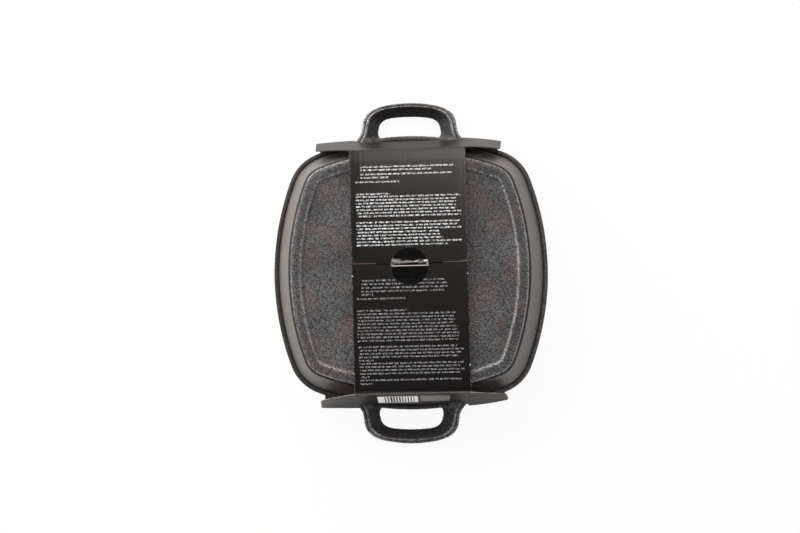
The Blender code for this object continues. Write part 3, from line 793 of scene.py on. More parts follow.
# %% Board sizes
front_low, front_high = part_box("sleeve_front_panel")
flap_low, flap_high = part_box("sleeve_back_flap_upper")
lower_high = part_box("sleeve_back_flap_lower")[1]
joints = {joint["name"]: Vector(joint["pos_m"]) for joint in frame["joints"]}
BOARD = front_high.z - front_low.z
LINER = 0.22 * MM
MEDIUM = 0.16 * MM
FLUTE_PITCH = 2.4 * MM
FLUTE_STEPS = 8
FLUTE_SETBACK = 0.1 * MM
OUTLINE_JUMP = 1 * MM
CORNER_STEPS = 5
TINY = 1e-7
CRUSH_WIDTH = 1.8 * MM
CRUSH_SHARE = 0.55
CRUSH_START = 3 * MM
FRONT_WIDTH = front_high.x
FLAP_HALF = flap_high.x + 1 * MM
FRONT_CREASE = joints["upper_side_crease"]
BASE_CREASE = joints["upper_flap_crease"]
FRONT_CREASE_SPACE = FRONT_CREASE.y - front_high.y
BASE_CREASE_SPACE = BASE_CREASE.y - flap_high.y
PANEL_STEP = BASE_CREASE - FRONT_CREASE
PANEL_LENGTH = PANEL_STEP.length
PANEL_UP = PANEL_STEP.normalized()
PANEL_OUT = Vector((0, PANEL_UP.z, -PANEL_UP.y))
WING_END_LENGTH = PANEL_LENGTH - 15.5 * MM
WING_CORNER = 9 * MM
SLOT_HALF = HANDLE_WIDTH / 2 + 5.5 * MM
SLOT_DEPTH = 14.3 * MM
SLOT_CORNER = 3 * MM
TONGUE_HALF = 31.2 * MM
SLIT_HALF = TONGUE_HALF + 0.4 * MM
SLIT_DEPTH = 2.1 * MM
WING_END_TAPER = 3 * MM

# %% How the sleeve lies on this pan
SLEEVE_SKEW = 0.95  # degrees, by which the sleeve sits askew on the pan
SLEEVE_SHIFT = 0.8 * MM
SEAM_SHIFT = -1.7 * MM
WING_BOWS = {
    # how far the outer end of each wing leans in at its foot and at its head, in mm
    ("upper", "left"): (2.2, 3.2),
    ("upper", "right"): (4.8, 6.3),
    ("lower", "left"): (1.0, -1.5),
    ("lower", "right"): (5.4, 1.6),
}
FOOT_BOW_START = 40 * MM
FLAP_RISE = 0.45 * MM
FLAP_RISE_START = 10 * MM
FLAP_RISE_END = 70 * MM
FLAP_BEND = 4.6 * MM
FLAP_BEND_SPREAD = 0.35  # more to the right, less to the left
FLAP_DROP = 1.7 * MM
FRONT_RECESS = 3.5 * MM
RECESS_START, RECESS_END = 1 * MM, 7 * MM  # from the panel's corners
UPPER_EDGE_Y = flap_low.y + SEAM_SHIFT
LOWER_EDGE_Y = lower_high.y + SEAM_SHIFT
SEAM_Y = (UPPER_EDGE_Y + LOWER_EDGE_Y) / 2
SKEW_COS = math.cos(math.radians(SLEEVE_SKEW))
SKEW_SIN = math.sin(math.radians(SLEEVE_SKEW))
print(f"board {BOARD / MM:.1f} mm, side panels {PANEL_LENGTH / MM:.1f} mm long")


# %% Outline of a panel
def round_corners(corners):
    """Turns (u, v, radius) corners into points, with an arc where the radius isn't 0."""
    points = []
    for index, (u, v, radius) in enumerate(corners):
        here = Vector((u, v))
        if radius == 0:
            points.append(here)
            continue
        before = (Vector(corners[index - 1][:2]) - here).normalized()
        after = (Vector(corners[(index + 1) % len(corners)][:2]) - here).normalized()
        half_angle = before.angle(after) / 2
        back = radius / math.tan(half_angle)
        centre = here + (before + after).normalized() * (radius / math.sin(half_angle))
        first = (here + before * back - centre).normalized()
        last = (here + after * back - centre).normalized()
        turns = np.linspace(0, 1, CORNER_STEPS + 1)
        points += [centre + first.slerp(last, turn) * radius for turn in turns]
    return points


# %% Liners
def sheet_into(work, points, low, high, cell, skin_index, edge_index):
    """Adds a flat sheet between two heights, cut into cells, with its own skin and edges."""
    rings = [[work.verts.new((p.x, p.y, height)) for p in points] for height in (low, high)]
    faces = [work.faces.new(ring) for ring in rings]
    for face in faces:
        face.material_index = skin_index
    corners = rings[0] + rings[1]
    for side in joined_rings(2, len(points)):
        faces.append(work.faces.new([corners[n] for n in side]))
        faces[-1].material_index = edge_index
    for axis in range(2):
        values = [p[axis] for p in points]
        count = int((max(values) - min(values)) / cell)
        for step in range(1, count):
            at = min(values) + (max(values) - min(values)) * step / count
            centre = [0.0, 0.0, 0.0]
            normal = [0.0, 0.0, 0.0]
            centre[axis], normal[axis] = at, 1.0
            faces = [f for f in faces if f.is_valid]
            geom = faces + each_once(e for f in faces for e in f.edges)
            geom += each_once(v for f in faces for v in f.verts)
            cut = bmesh.ops.bisect_plane(work, geom=geom, dist=TINY, plane_co=centre, plane_no=normal)
            faces = [g for g in cut["geom"] if isinstance(g, bmesh.types.BMFace)]


# %% Flutes
def span_at(points, u):
    """Where the panel begins and ends along v, at that u."""
    hits = []
    for here, after in zip(points, points[1:] + points[:1]):
        if min(here.x, after.x) <= u < max(here.x, after.x):
            hits.append(here.y + (after.y - here.y) * (u - here.x) / (after.x - here.x))
    return (min(hits), max(hits)) if len(hits) == 2 else None


def flutes_into(work, points, room, index):
    """Adds the wavy sheet between the liners, broken where the panel's outline jumps."""
    low = min(p.x for p in points)
    count = int((max(p.x for p in points) - low) / FLUTE_PITCH * FLUTE_STEPS)
    swing = room - MEDIUM / 2
    columns, runs = [], []
    for step in range(1, count):
        u = low + step * FLUTE_PITCH / FLUTE_STEPS
        span = span_at(points, u)
        if span is None:
            continue
        if columns and abs(columns[-1][1] - span[0]) > OUTLINE_JUMP:
            runs.append(columns)
            columns = []
        columns.append((u, span[0] + FLUTE_SETBACK, span[1] - FLUTE_SETBACK))
    runs.append(columns)
    for run in runs:
        rows = []
        for u, start, end in run:
            w = swing * math.sin(2 * math.pi * u / FLUTE_PITCH)
            corners = ((start, -1), (end, -1), (end, 1), (start, 1))
            rows.append([work.verts.new((u, v, w + side * MEDIUM / 2)) for v, side in corners])
        for here, after in zip(rows, rows[1:]):
            for n in range(4):
                m = (n + 1) % 4
                work.faces.new((here[n], here[m], after[m], after[n])).material_index = index
        work.faces.new(rows[0]).material_index = index
        work.faces.new(rows[-1]).material_index = index


# %% Crushed edges
def crushed_flap(u, v):
    """How far the cutting rule has crushed a flap beside its edges, from 0 to 1."""
    return clamped((abs(u) - FLAP_HALF) / CRUSH_WIDTH + 1)


def crushed_wing(u, v):
    """The same for a side panel, along the heads of its wings."""
    out = abs(u) - FLAP_HALF
    slope = (PANEL_LENGTH - WING_END_LENGTH) / (FRONT_WIDTH - WING_END_TAPER - FLAP_HALF)
    from_head = PANEL_LENGTH - BASE_CREASE_SPACE - out * slope - v
    return clamped(1 - from_head / CRUSH_WIDTH) * clamped(out / CRUSH_START)


# %% A panel of board
def board_panel(name, corners, place, cell=6 * MM, crushed=None):
    """A panel of three sheets, brought to its place. Its materials are print, kraft and cut edge."""
    points = round_corners(corners)
    room = BOARD / 2 - LINER
    work = bmesh.new()
    sheet_into(work, points, room, BOARD / 2, cell, 0, 2)
    sheet_into(work, points, -BOARD / 2, -room, cell, 1, 2)
    flutes_into(work, points, room, 2)
    bmesh.ops.recalc_face_normals(work, faces=work.faces)
    for vert in work.verts:
        u, v, w = vert.co
        if crushed:
            w *= 1 - CRUSH_SHARE * crushed(u, v)
        vert.co = place(u, v, w)
    mesh = bpy.data.meshes.new(name)
    work.to_mesh(mesh)
    work.free()
    print(f"{name}: {len(mesh.vertices)} points")
    return add_object(name, mesh)


# %% [markdown]
# The four creases are at the joints of the frame. The wings, outside the handle slot, have
# nothing to lean on, because the pan's corners are round. Each one has bent a little in its
# own way. The front panel's corners bend with them. The flaps spring up by half a
# millimetre beside their crease, as stiff board does when it is folded over an edge, and
# the lower one starts in a softer bend, because it was folded over the ring by hand.

# %% Panels in place
def wing_bow(direction, u, v):
    """How far the board has bent towards the middle of the pan at that place."""
    foot, head = WING_BOWS["upper" if direction > 0 else "lower", "left" if u < 0 else "right"]
    foot_share = max(abs(u) - FOOT_BOW_START, 0) / (FRONT_WIDTH - FOOT_BOW_START)
    head_share = max(abs(u) - FLAP_HALF, 0) / (FRONT_WIDTH - FLAP_HALF)
    up = clamped(v / WING_END_LENGTH)
    return MM * (foot * foot_share**2 * (1 - up) + head * head_share**1.5 * up)


def askew(x, y, z):
    """A place on the sleeve, turned with it on the pan."""
    return Vector((x * SKEW_COS - y * SKEW_SIN + SLEEVE_SHIFT, x * SKEW_SIN + y * SKEW_COS, z))


def place_front(u, v, w):
    """The place of a point of the front panel, whose v runs along Y from its middle."""
    bow = wing_bow(1 if v > 0 else -1, u, 0)
    return askew(u, v * (1 - bow / front_high.y), FRONT_CREASE.z - w)


def place_side(direction):
    """The function that places the points of a side panel."""
    def place(u, v, w):
        spot = FRONT_CREASE + PANEL_UP * v + PANEL_OUT * w
        return askew(u, direction * (spot.y - wing_bow(direction, u, v)), spot.z)

    return place


def place_flap(direction):
    """The function that places the points of a back flap."""
    def place(u, v, w):
        rise = FLAP_RISE * (1 - math.exp(-v / FLAP_RISE_START)) * math.exp(-v / FLAP_RISE_END)
        if direction < 0:
            bend = FLAP_BEND * (1 + FLAP_BEND_SPREAD * u / FLAP_HALF)
            rise -= FLAP_DROP * max(1 - v / bend, 0) ** 2
        return askew(u, direction * (BASE_CREASE.y - v), BASE_CREASE.z + rise + w)

    return place


def mirrored(right):
    """The corners of both sides, from those of the right side."""
    return list(right) + [(-u, v, radius) for u, v, radius in reversed(right)]


# %% Outlines of the panels
SIDE_CORNERS = mirrored(
    [
        (SLOT_HALF, SLOT_DEPTH, SLOT_CORNER),
        (SLOT_HALF, FRONT_CREASE_SPACE, 0),
        (FRONT_WIDTH, FRONT_CREASE_SPACE, 0),
        (FRONT_WIDTH - WING_END_TAPER, WING_END_LENGTH, WING_CORNER),
        (FLAP_HALF, PANEL_LENGTH - BASE_CREASE_SPACE, 0),
    ]
)
FRONT_CORNERS = mirrored(
    [
        (FRONT_WIDTH, front_low.y, 0),
        (FRONT_WIDTH, front_low.y + RECESS_START, 0),
        (FRONT_WIDTH - FRONT_RECESS, front_low.y + RECESS_END, 0),
        (FRONT_WIDTH - FRONT_RECESS, front_high.y - RECESS_END, 0),
        (FRONT_WIDTH, front_high.y - RECESS_START, 0),
        (FRONT_WIDTH, front_high.y, 0),
    ]
)
UPPER_FLAP_END = BASE_CREASE.y - UPPER_EDGE_Y
LOWER_FLAP_END = BASE_CREASE.y + LOWER_EDGE_Y
FLAP_CORNER = 0.8 * MM
UPPER_FLAP_CORNERS = mirrored([(FLAP_HALF, BASE_CREASE_SPACE, 0), (FLAP_HALF, UPPER_FLAP_END, FLAP_CORNER)])
LOWER_FLAP_CORNERS = mirrored(
    [
        (FLAP_HALF, BASE_CREASE_SPACE, 0),
        (FLAP_HALF, LOWER_FLAP_END, FLAP_CORNER),
        (SLIT_HALF, LOWER_FLAP_END, 0),
        (SLIT_HALF, LOWER_FLAP_END - SLIT_DEPTH, 0),
    ]
)

# %% Panels
front_board = board_panel("front_panel_board", FRONT_CORNERS, place_front, 9 * MM)
side_boards = [
    board_panel(f"side_panel_{end}_board", SIDE_CORNERS, place_side(direction), 5 * MM, crushed_wing)
    for end, direction in (("upper", 1), ("lower", -1))
]
flap_boards = [
    board_panel("back_flap_upper_board", UPPER_FLAP_CORNERS, place_flap(1), 9 * MM, crushed_flap),
    board_panel("back_flap_lower_board", LOWER_FLAP_CORNERS, place_flap(-1), 1.5 * MM, crushed_flap),
]


# %% [markdown]
# At a crease the three sheets are pressed together and bend as one. Each crease is a bent
# strip between the edges of two panels, built where they lie at rest. The strip comes in
# short lengths, because the creases bow with the wings.

# %% Creases
CREASE_STEPS = 8
CREASE_LENGTH = 7 * MM


def bend_between(edge_a, corner, edge_b):
    """Points of the bend from one panel's edge to the other's."""
    return [edge_a] + [Vector(p) for p in curve(tuple(edge_a), tuple(corner), tuple(edge_b), CREASE_STEPS)]


def meeting_point(a, along_a, b, along_b):
    """Where two lines across a crease meet."""
    cross = along_a.y * along_b.z - along_a.z * along_b.y
    step = ((b.y - a.y) * along_b.z - (b.z - a.z) * along_b.y) / cross
    return a + along_a * step


def mark_faces(mesh, count, outer):
    """Gives a strip made of rings of points its finishes: print, kraft, and cut edge at its sides."""
    for face in mesh.polygons:
        rank = {n % count for n in face.vertices}
        face.material_index = 0 if max(rank) < outer else 1 if min(rank) >= outer else 2


def crease_strip(name, low, high, edge_a, edge_b, bodies):
    """A bent strip from low to high. edge_a(u, w) and edge_b(u, w) give a point and its direction."""
    columns = 3
    rows = []
    for column in range(columns + 1):
        u = low + (high - low) * column / columns
        ring = []
        for w in (BOARD / 2, -BOARD / 2):
            (a, along_a), (b, along_b) = edge_a(u, w), edge_b(u, w)
            line = bend_between(a, meeting_point(a, along_a, b, along_b), b)
            ring += line if w > 0 else line[::-1]
        rows.append(ring)
    count = len(rows[0])
    outer = CREASE_STEPS + 1
    faces = joined_rings(columns + 1, count)
    faces += [tuple(range(count)), tuple(columns * count + n for n in range(count))]
    mesh = mesh_from(name, [p for ring in rows for p in ring], faces, smooth=False)
    mark_faces(mesh, count, outer)
    made = add_object(name, mesh)
    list(bodies)
    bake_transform(made)
    return made


def panel_edge(place, v, step):
    """An edge of a panel as a function of u and w, with the direction that the panel runs in there."""
    def edge(u, w):
        return place(u, v, w), (place(u, v + step, w) - place(u, v, w)).normalized()

    return edge


# %% All creases
creases = []
for end, direction in (("upper", 1), ("lower", -1)):
    side = place_side(direction)
    front_edge = panel_edge(place_front, direction * front_high.y, direction * MM)
    side_foot = panel_edge(side, FRONT_CREASE_SPACE, -MM)
    side_head = panel_edge(side, PANEL_LENGTH - BASE_CREASE_SPACE, MM)
    flap_foot = panel_edge(place_flap(direction), BASE_CREASE_SPACE, -MM)
    front_edges, front_bodies = (front_edge, side_foot), ("pan_in_sleeve", f"side_{end}")
    for stretch, low, high, edges, bodies in (
        ("front_left", -FRONT_WIDTH, -SLOT_HALF, front_edges, front_bodies),
        ("front_right", SLOT_HALF, FRONT_WIDTH, front_edges, front_bodies),
        ("base", -FLAP_HALF, FLAP_HALF, (side_head, flap_foot), (f"side_{end}", f"flap_{end}")),
    ):
        count = round((high - low) / CREASE_LENGTH)
        for n in range(count):
            first, last = (low + (high - low) * step / count for step in (n, n + 1))
            creases.append(crease_strip(f"crease_{end}_{stretch}_{n}", first, last, *edges, bodies))
print(f"{len(creases)} lengths of crease")

# %% [markdown]
# The tongue is the middle of the upper flap's edge. It dips through the slit in the lower
# flap and runs on beneath it. The board is creased at the seam, so the tongue starts in a
# soft bend.

# %% Tongue
tongue_low, tongue_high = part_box("lock_tongue")
TONGUE_CORNER = 3 * MM
TONGUE_THICKNESS = 1.1 * MM  # below the flap, where it is pressed
TONGUE_PLAY = 0.45 * MM  # between the tongue and the end of its slit
TONGUE_BEND_TOP, TONGUE_BEND_UNDER = 0.5 * MM, 1.2 * MM


def tongue_board():
    """The tongue as a bent strip of board with round corners at its hidden end."""
    seam = tongue_high.y + SEAM_SHIFT
    slit = seam - SLIT_DEPTH + TONGUE_PLAY

    def face_line(top, corner, under):
        """A line along the tongue: down through the slit in a soft bend, and on beneath the lower flap."""
        line = [(seam, top)] + curve((seam, top), corner, (slit, under), 8)
        return [Vector((0, *p)) for p in line + straight((slit, under), (tongue_low.y, under), 12)]

    top, under = tongue_high.z, tongue_low.z
    upper = face_line(top, (slit + TONGUE_BEND_TOP, top), under + TONGUE_THICKNESS)
    lower = face_line(top - BOARD, (slit + TONGUE_BEND_UNDER, under), under)
    points = []
    ring = upper + lower[::-1]
    for side in (-1, 1):
        for spot in ring:
            from_end = clamped((TONGUE_CORNER - (spot.y - tongue_low.y)) / TONGUE_CORNER)
            inset = TONGUE_CORNER * (1 - math.sqrt(1 - from_end**2))
            points.append(askew(side * (TONGUE_HALF - inset), spot.y, spot.z))
    count = len(ring)
    faces = joined_rings(2, count)
    for step in range(len(upper) - 1):
        across = count - 1 - step
        for base in (0, count):
            faces.append((base + step, base + step + 1, base + across - 1, base + across))
    mesh = mesh_from("lock_tongue_board", points, faces, smooth=False)
    mark_faces(mesh, count, len(upper))
    return add_object("lock_tongue_board", mesh)


tongue = tongue_board()
print(f"tongue {2 * TONGUE_HALF / MM:.1f} mm wide, {(tongue_high.y - tongue_low.y) / MM:.1f} mm long")

# %% [markdown]
# The seal is a round of clear film, the kind that closes a mailer. It is slit along the
# seam, so each flap keeps its part. It crinkles along the seam, where it was pulled. The
# crinkles are real folds in the mesh, a few tenths of a millimetre high, and the white on
# them is a painted highlight, the glare of the crinkled film, painted by the material.

# %% Seal
SEAL_RADIUS = 17.8 * MM
SEAL_FILM = 0.12 * MM
SEAL_LIFT = 0.17 * MM  # above the flaps
SEAL_CELL = 0.7 * MM
SEAL_ARC_STEPS = 96
SEAL_CRINKLE, SEAL_PULL = 0.55 * MM, 0.15 * MM
SEAL_BAND = 5 * MM
SEAL_FOLDS = (
    # folds along the seam and across it, in mm, their share, and a place in the noise
    (7, 2.2, 1.0, 3.7), (2.5, 1.6, 0.5, 9.1),
)
SEAL_CENTRE_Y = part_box("seal_lower_part")[0].y + SEAL_RADIUS - 0.4 * MM


def seal_film(name, keep_above):
    """One part of the seal: a disc cut at the seam, with crinkles beside the cut."""
    edge = (UPPER_EDGE_Y if keep_above else LOWER_EDGE_Y) - SEAL_CENTRE_Y
    turn = math.asin(edge / SEAL_RADIUS)
    start, end = (turn, math.pi - turn) if keep_above else (math.pi - turn, 2 * math.pi + turn)
    arc = [start + (end - start) * step / SEAL_ARC_STEPS for step in range(SEAL_ARC_STEPS + 1)]
    points = [Vector((SEAL_RADIUS * math.cos(a), SEAL_RADIUS * math.sin(a))) for a in arc]
    work = bmesh.new()
    sheet_into(work, points, 0, SEAL_FILM, SEAL_CELL, 0, 0)
    bmesh.ops.recalc_face_normals(work, faces=work.faces)
    for vert in work.verts:
        u, v, w = vert.co
        band = max(1 - abs(v - edge) / SEAL_BAND, 0) ** 1.5
        fold = 0.0
        for along, across, share, offset in SEAL_FOLDS:
            fold += share * noise.noise(Vector((u * per_mm(along), v * per_mm(across), offset)))
        rise = band * max(fold, 0) * SEAL_CRINKLE + band * SEAL_PULL
        vert.co = askew(u, SEAL_CENTRE_Y + v, flap_high.z + SEAL_LIFT + w + rise)
    mesh = bpy.data.meshes.new(name)
    work.to_mesh(mesh)
    work.free()
    mesh.shade_smooth()
    return add_object(name, mesh)


seals = [seal_film("seal_upper_film", True), seal_film("seal_lower_film", False)]
print(f"seal {2 * SEAL_RADIUS / MM:.1f} mm across, cut {(SEAM_Y - SEAL_CENTRE_Y) / MM:.1f} mm above centre")

# %% [markdown]
# The outer liner is paper printed charcoal all over, with a satin varnish. The small print
# is set in rows. Words are left out here: each row is a run of plain dashes of word length,
# which reads as grey rows from a step away and says nothing. The rows are made by the
# material from the place on the board in millimetres: a row number from the height, dashes
# from a one-dimensional cell pattern, and a ragged right end from a random number. The
# flaps' edges have lost some ink, and at the seam the brown board shows through.

# %% Print on the board
INK, INK_WORN = "#151515", "#1d1b1a"
UPPER_ROWS = (
    # first row's y, rows, row pitch, left and right ends, all in mm
    (98.2, 1, 3.0, -44.2, 44.0),
    (95.2, 1, 3.0, -44.2, 22.5),
    (91.2, 1, 3.2, -44.2, 42.5),
    (88.0, 1, 3.2, -44.2, -18.0),
    (84.0, 1, 3.0, -49.0, -8.0),
    (72.6, 1, 2.6, -49.0, -17.0),
    (70.0, 7, 3.05, -49.0, 49.5),
    (45.8, 3, 3.05, -49.0, 49.5),
    (36.65, 3, 3.05, -49.0, 34.0),
    (27.5, 1, 3.05, -49.0, 49.5),
    (24.45, 1, 3.05, -49.0, 36.0),
)
LOWER_ROWS = (
    (-8.7, 4, 3.38, -45.8, 37.0),
    (-21.9, 1, 3.0, -45.8, -35.0),
    (-25.8, 1, 3.0, -50.3, -5.0),
    (-36.9, 1, 2.6, -50.3, -2.0),
    (-40.1, 9, 3.12, -50.3, 46.5),
    (-70.9, 4, 3.12, -49.5, 49.5),
    (-83.4, 1, 3.0, -49.5, -36.0),
    (-86.3, 4, 3.13, -49.0, 49.0),
    (-98.9, 1, 3.0, -49.0, -40.0),
    (-101.8, 1, 3.0, -48.5, 46.0),
    (-105.2, 1, 3.0, -48.5, -37.0),
)
LETTER_HEIGHT = 1.4  # mm, of the small letters
WORD_LENGTH = 5.4
WORD_GAP = 0.1  # as a share of a word's cell
RAGGED = 7.0
ROW_SEED, BLOCK_SEED = 17.31, 3.7  # they set the rows and blocks apart in the random noise
NICKS = ((-1, -4.1), (1, -4.1), (1, -89.1))  # side and height in mm, where the blank was held in its sheet
print(sum(rows[1] for rows in UPPER_ROWS + LOWER_ROWS), "rows of print")


# %% Place on the sleeve
def sleeve_place(tree):
    """The place on the sleeve, with the turn on the pan taken back, and its x, y and z in mm."""
    place = add_node(tree, "TexCoord").outputs["Object"]
    turn = (0, 0, -math.radians(SLEEVE_SKEW))
    place = add_node(tree, "Mapping", {"Vector": place, "Rotation": turn, "Location": (-SLEEVE_SHIFT, 0, 0)})
    in_mm = add_node(tree, "VectorMath", {0: place, "Scale": 1 / MM}, operation="SCALE")
    return place, *add_node(tree, "SeparateXYZ", {0: in_mm}).outputs


# %% Masks and rows of dashes
def where_all(tree, tests):
    """A mask that is 1 where every test holds. A test is a socket, a comparison and a limit."""
    mask = None
    for socket, comparison, limit in tests:
        part = add_node(tree, "Math", {0: socket, 1: limit}, operation=comparison)
        mask = add_node(tree, "Math", {0: mask, 1: part}, operation="MULTIPLY") if mask else part
    return mask


def inside(tree, across, up, window):
    """A mask of a rectangle, given by its left, right, low and high."""
    left, right, low, high = window
    sides = ((across, "GREATER_THAN", left), (across, "LESS_THAN", right))
    return where_all(tree, sides + ((up, "GREATER_THAN", low), (up, "LESS_THAN", high)))


def dash_rows(tree, across, along, rows, seed):
    """A mask that is 1 on the dashes of one block of print. Lengths are in mm."""
    first, count, pitch, left, right = rows
    middle = (count - 1) / 2
    loose = RAGGED if count > 2 else 0.0
    down = add_node(tree, "Math", {0: first + LETTER_HEIGHT / 2, 1: along}, operation="SUBTRACT")
    at = add_node(tree, "Math", {0: down, 1: pitch}, operation="DIVIDE")
    row = add_node(tree, "Math", {0: at}, operation="FLOOR")
    within = add_node(tree, "Math", {0: at, 1: row}, operation="SUBTRACT")
    off = add_node(tree, "Math", {0: row, 1: middle}, operation="SUBTRACT")
    away = add_node(tree, "Math", {0: off}, operation="ABSOLUTE")
    shift = add_node(tree, "Math", {0: row, 1: ROW_SEED, 2: seed}, operation="MULTIPLY_ADD")
    draw = add_node(tree, "TexWhiteNoise", {"W": shift}, noise_dimensions="1D")
    row_end = add_node(tree, "Math", {0: draw, 1: -loose, 2: right}, operation="MULTIPLY_ADD")
    word_at = add_node(tree, "Math", {0: across, 1: 1 / WORD_LENGTH, 2: shift}, operation="MULTIPLY_ADD")
    words = add_node(
        tree,
        "TexVoronoi",
        {"W": word_at, "Scale": 1.0, "Randomness": 0.9},
        voronoi_dimensions="1D",
        feature="DISTANCE_TO_EDGE",
    )
    tests = (
        (within, "LESS_THAN", LETTER_HEIGHT / pitch),
        (away, "LESS_THAN", middle + 0.5),
        (across, "LESS_THAN", row_end),
        (across, "GREATER_THAN", left),
        (words, "GREATER_THAN", WORD_GAP),
    )
    return where_all(tree, tests)


# %% Charcoal print
def worn_edges(tree, place, across, along, colour):
    """Lays the chipped side edges, the bared edge at the seam and the nicks over a colour."""
    half, seam = FLAP_HALF / MM, LOWER_EDGE_Y / MM
    edge = add_node(tree, "Math", {0: across}, operation="ABSOLUTE")
    worn = add_node(tree, "MapRange", {"Value": edge, "From Min": half - 0.8, "From Max": half - 0.2})
    chips = add_node(tree, "TexNoise", {"Vector": place, "Scale": per_mm(1.7), "Detail": 3.0})
    chipped = add_node(tree, "MapRange", {"Value": chips, "From Min": 0.5, "From Max": 0.58})
    layers = [
        (add_node(tree, "Math", {0: worn, 1: chipped}, operation="MULTIPLY"), "#8d8580"),
        (inside(tree, across, along, (-half, half, seam - 0.4, seam + 0.3)), "#7d6658"),
    ]
    for side, height in NICKS:
        low, high = sorted((side * (half - 1.0), side * (half + 0.3)))
        layers.append((inside(tree, across, along, (low, high, height - 0.5, height + 0.5)), "#f0eeea"))
    for share, shade in layers:
        colour = add_node(tree, "Mix", {"Factor": share, 6: colour, 7: linear(shade)}, data_type="RGBA")
    return colour


def charcoal_print(name, varnish, blocks=(), row_white="#ffffff", patch=False):
    """Varnished charcoal ink on a paper liner, with rows of dashes. The varnish is a roughness."""
    made, tree, shader = start_material(name)
    place, across, along, up = sleeve_place(tree)
    mottle = add_node(tree, "TexNoise", {"Vector": place, "Scale": per_mm(26), "Detail": 3.0})
    colour = add_node(tree, "Mix", {"Factor": mottle, 6: linear(INK), 7: linear(INK_WORN)}, data_type="RGBA")
    if blocks:
        # the dashes are uneven, as if made of letters too small to read
        white = linear(row_white)
        letters = add_node(tree, "TexNoise", {"Vector": place, "Scale": per_mm(0.9), "Detail": 0.0})
        strength = add_node(tree, "MapRange", {"Value": letters, "From Min": 0.48, "From Max": 0.52})
        for block, rows in enumerate(blocks):
            mask = dash_rows(tree, across, along, rows, BLOCK_SEED * block)
            drawn = add_node(tree, "Math", {0: mask, 1: strength}, operation="MULTIPLY")
            colour = add_node(tree, "Mix", {"Factor": drawn, 6: colour, 7: white}, data_type="RGBA")
        colour = worn_edges(tree, place, across, along, colour)
    if patch:
        colour = bar_patch(tree, across, up, colour)

    # the flutes press through the varnish. The wave texture turns 20 radians in a unit, so 0.16 gives
    # one wave to two flutes, because single ones would be too fine to show
    fibre = add_node(tree, "TexNoise", {"Vector": place, "Scale": per_mm(0.9), "Detail": 2.0})
    waves = {"Vector": place, "Scale": per_mm(FLUTE_PITCH / MM) * 0.16, "Distortion": 0.0}
    fluting = add_node(tree, "TexWave", waves, bands_direction="X")
    relief = add_node(tree, "Math", {0: fluting, 1: 0.6, 2: fibre}, operation="MULTIPLY_ADD")
    bump = add_node(tree, "Bump", {"Height": relief, "Strength": 0.6, "Distance": 0.07 * MM})
    fill(shader, {"Base Color": colour, "Roughness": varnish, "Specular IOR Level": 0.35, "Normal": bump})
    return made


# %% [markdown]
# The lower side panel carries a white patch with upright bars, and a small grey block of
# rows beside it. The bars stand for nothing: they are a random choice of thin and thick.

# %% Bar patch
PATCH = (-34.0, 4.2, 20.0, 41.5)  # left, right, and the heights between which it lies, in mm
BAR_FIELD = (-28.5, 0.7, 21.0, 40.5)
BAR_PITCH = 2.75
GREY_BLOCK = (6.5, 34.5, 23.0, 42.0)
GREY_ROW_PITCH, GREY_DASH_PITCH = 3.4, 1.7


def bar_patch(tree, across, up, colour):
    """Lays the white patch, its bars and the grey block over a colour."""
    at = add_node(tree, "Math", {0: across, 1: BAR_PITCH}, operation="DIVIDE")
    cell = add_node(tree, "Math", {0: at}, operation="FLOOR")
    within = add_node(tree, "Math", {0: at, 1: cell}, operation="SUBTRACT")
    draw = add_node(tree, "TexWhiteNoise", {"W": cell}, noise_dimensions="1D")
    width = add_node(tree, "MapRange", {"Value": draw, "To Min": 0.35, "To Max": 0.72})
    dark = add_node(tree, "Math", {0: within, 1: width}, operation="LESS_THAN")
    field = inside(tree, across, up, BAR_FIELD)
    bars = add_node(tree, "Math", {0: dark, 1: field}, operation="MULTIPLY")
    block = inside(tree, across, up, GREY_BLOCK)
    for socket, pitch, drawn_share in ((up, GREY_ROW_PITCH, 0.5), (across, GREY_DASH_PITCH, 0.62)):
        at = add_node(tree, "Math", {0: socket, 1: pitch}, operation="DIVIDE")
        at = add_node(tree, "Math", {0: at}, operation="FRACT")
        drawn = add_node(tree, "Math", {0: at, 1: drawn_share}, operation="LESS_THAN")
        block = add_node(tree, "Math", {0: block, 1: drawn}, operation="MULTIPLY")
    patch = inside(tree, across, up, PATCH)
    for share, shade in ((patch, "#fbfaf8"), (bars, "#1c1b1b"), (block, "#d2cfcc")):
        colour = add_node(tree, "Mix", {"Factor": share, 6: colour, 7: linear(shade)}, data_type="RGBA")
    return colour


# %% [markdown]
# Inside, the board is plain brown kraft, made of long unbleached fibres, painted darker
# than bare kraft as shade for the gaps under the wings. Its cut edges show the same brown,
# painted darker and greyer as shade. On the lower side panel the edges face the light and
# are painted pale, as a thin line of painted highlight.

# %% Kraft and cut edge
def brown_paper(name, dark, pale):
    """Unbleached paper with long fibres."""
    made, tree, shader = start_material(name)
    place = add_node(tree, "TexCoord").outputs["Object"]
    stretched = add_node(tree, "Mapping", {"Vector": place, "Scale": (1.0, 0.25, 1.0)})
    fibres = add_node(tree, "TexNoise", {"Vector": stretched, "Scale": per_mm(1.2), "Detail": 4.0})
    colour = add_node(tree, "Mix", {"Factor": fibres, 6: linear(dark), 7: linear(pale)}, data_type="RGBA")
    bump = add_node(tree, "Bump", {"Height": fibres, "Strength": 0.4, "Distance": 0.06 * MM})
    fill(shader, {"Base Color": colour, "Roughness": 0.85, "Normal": bump})
    return made


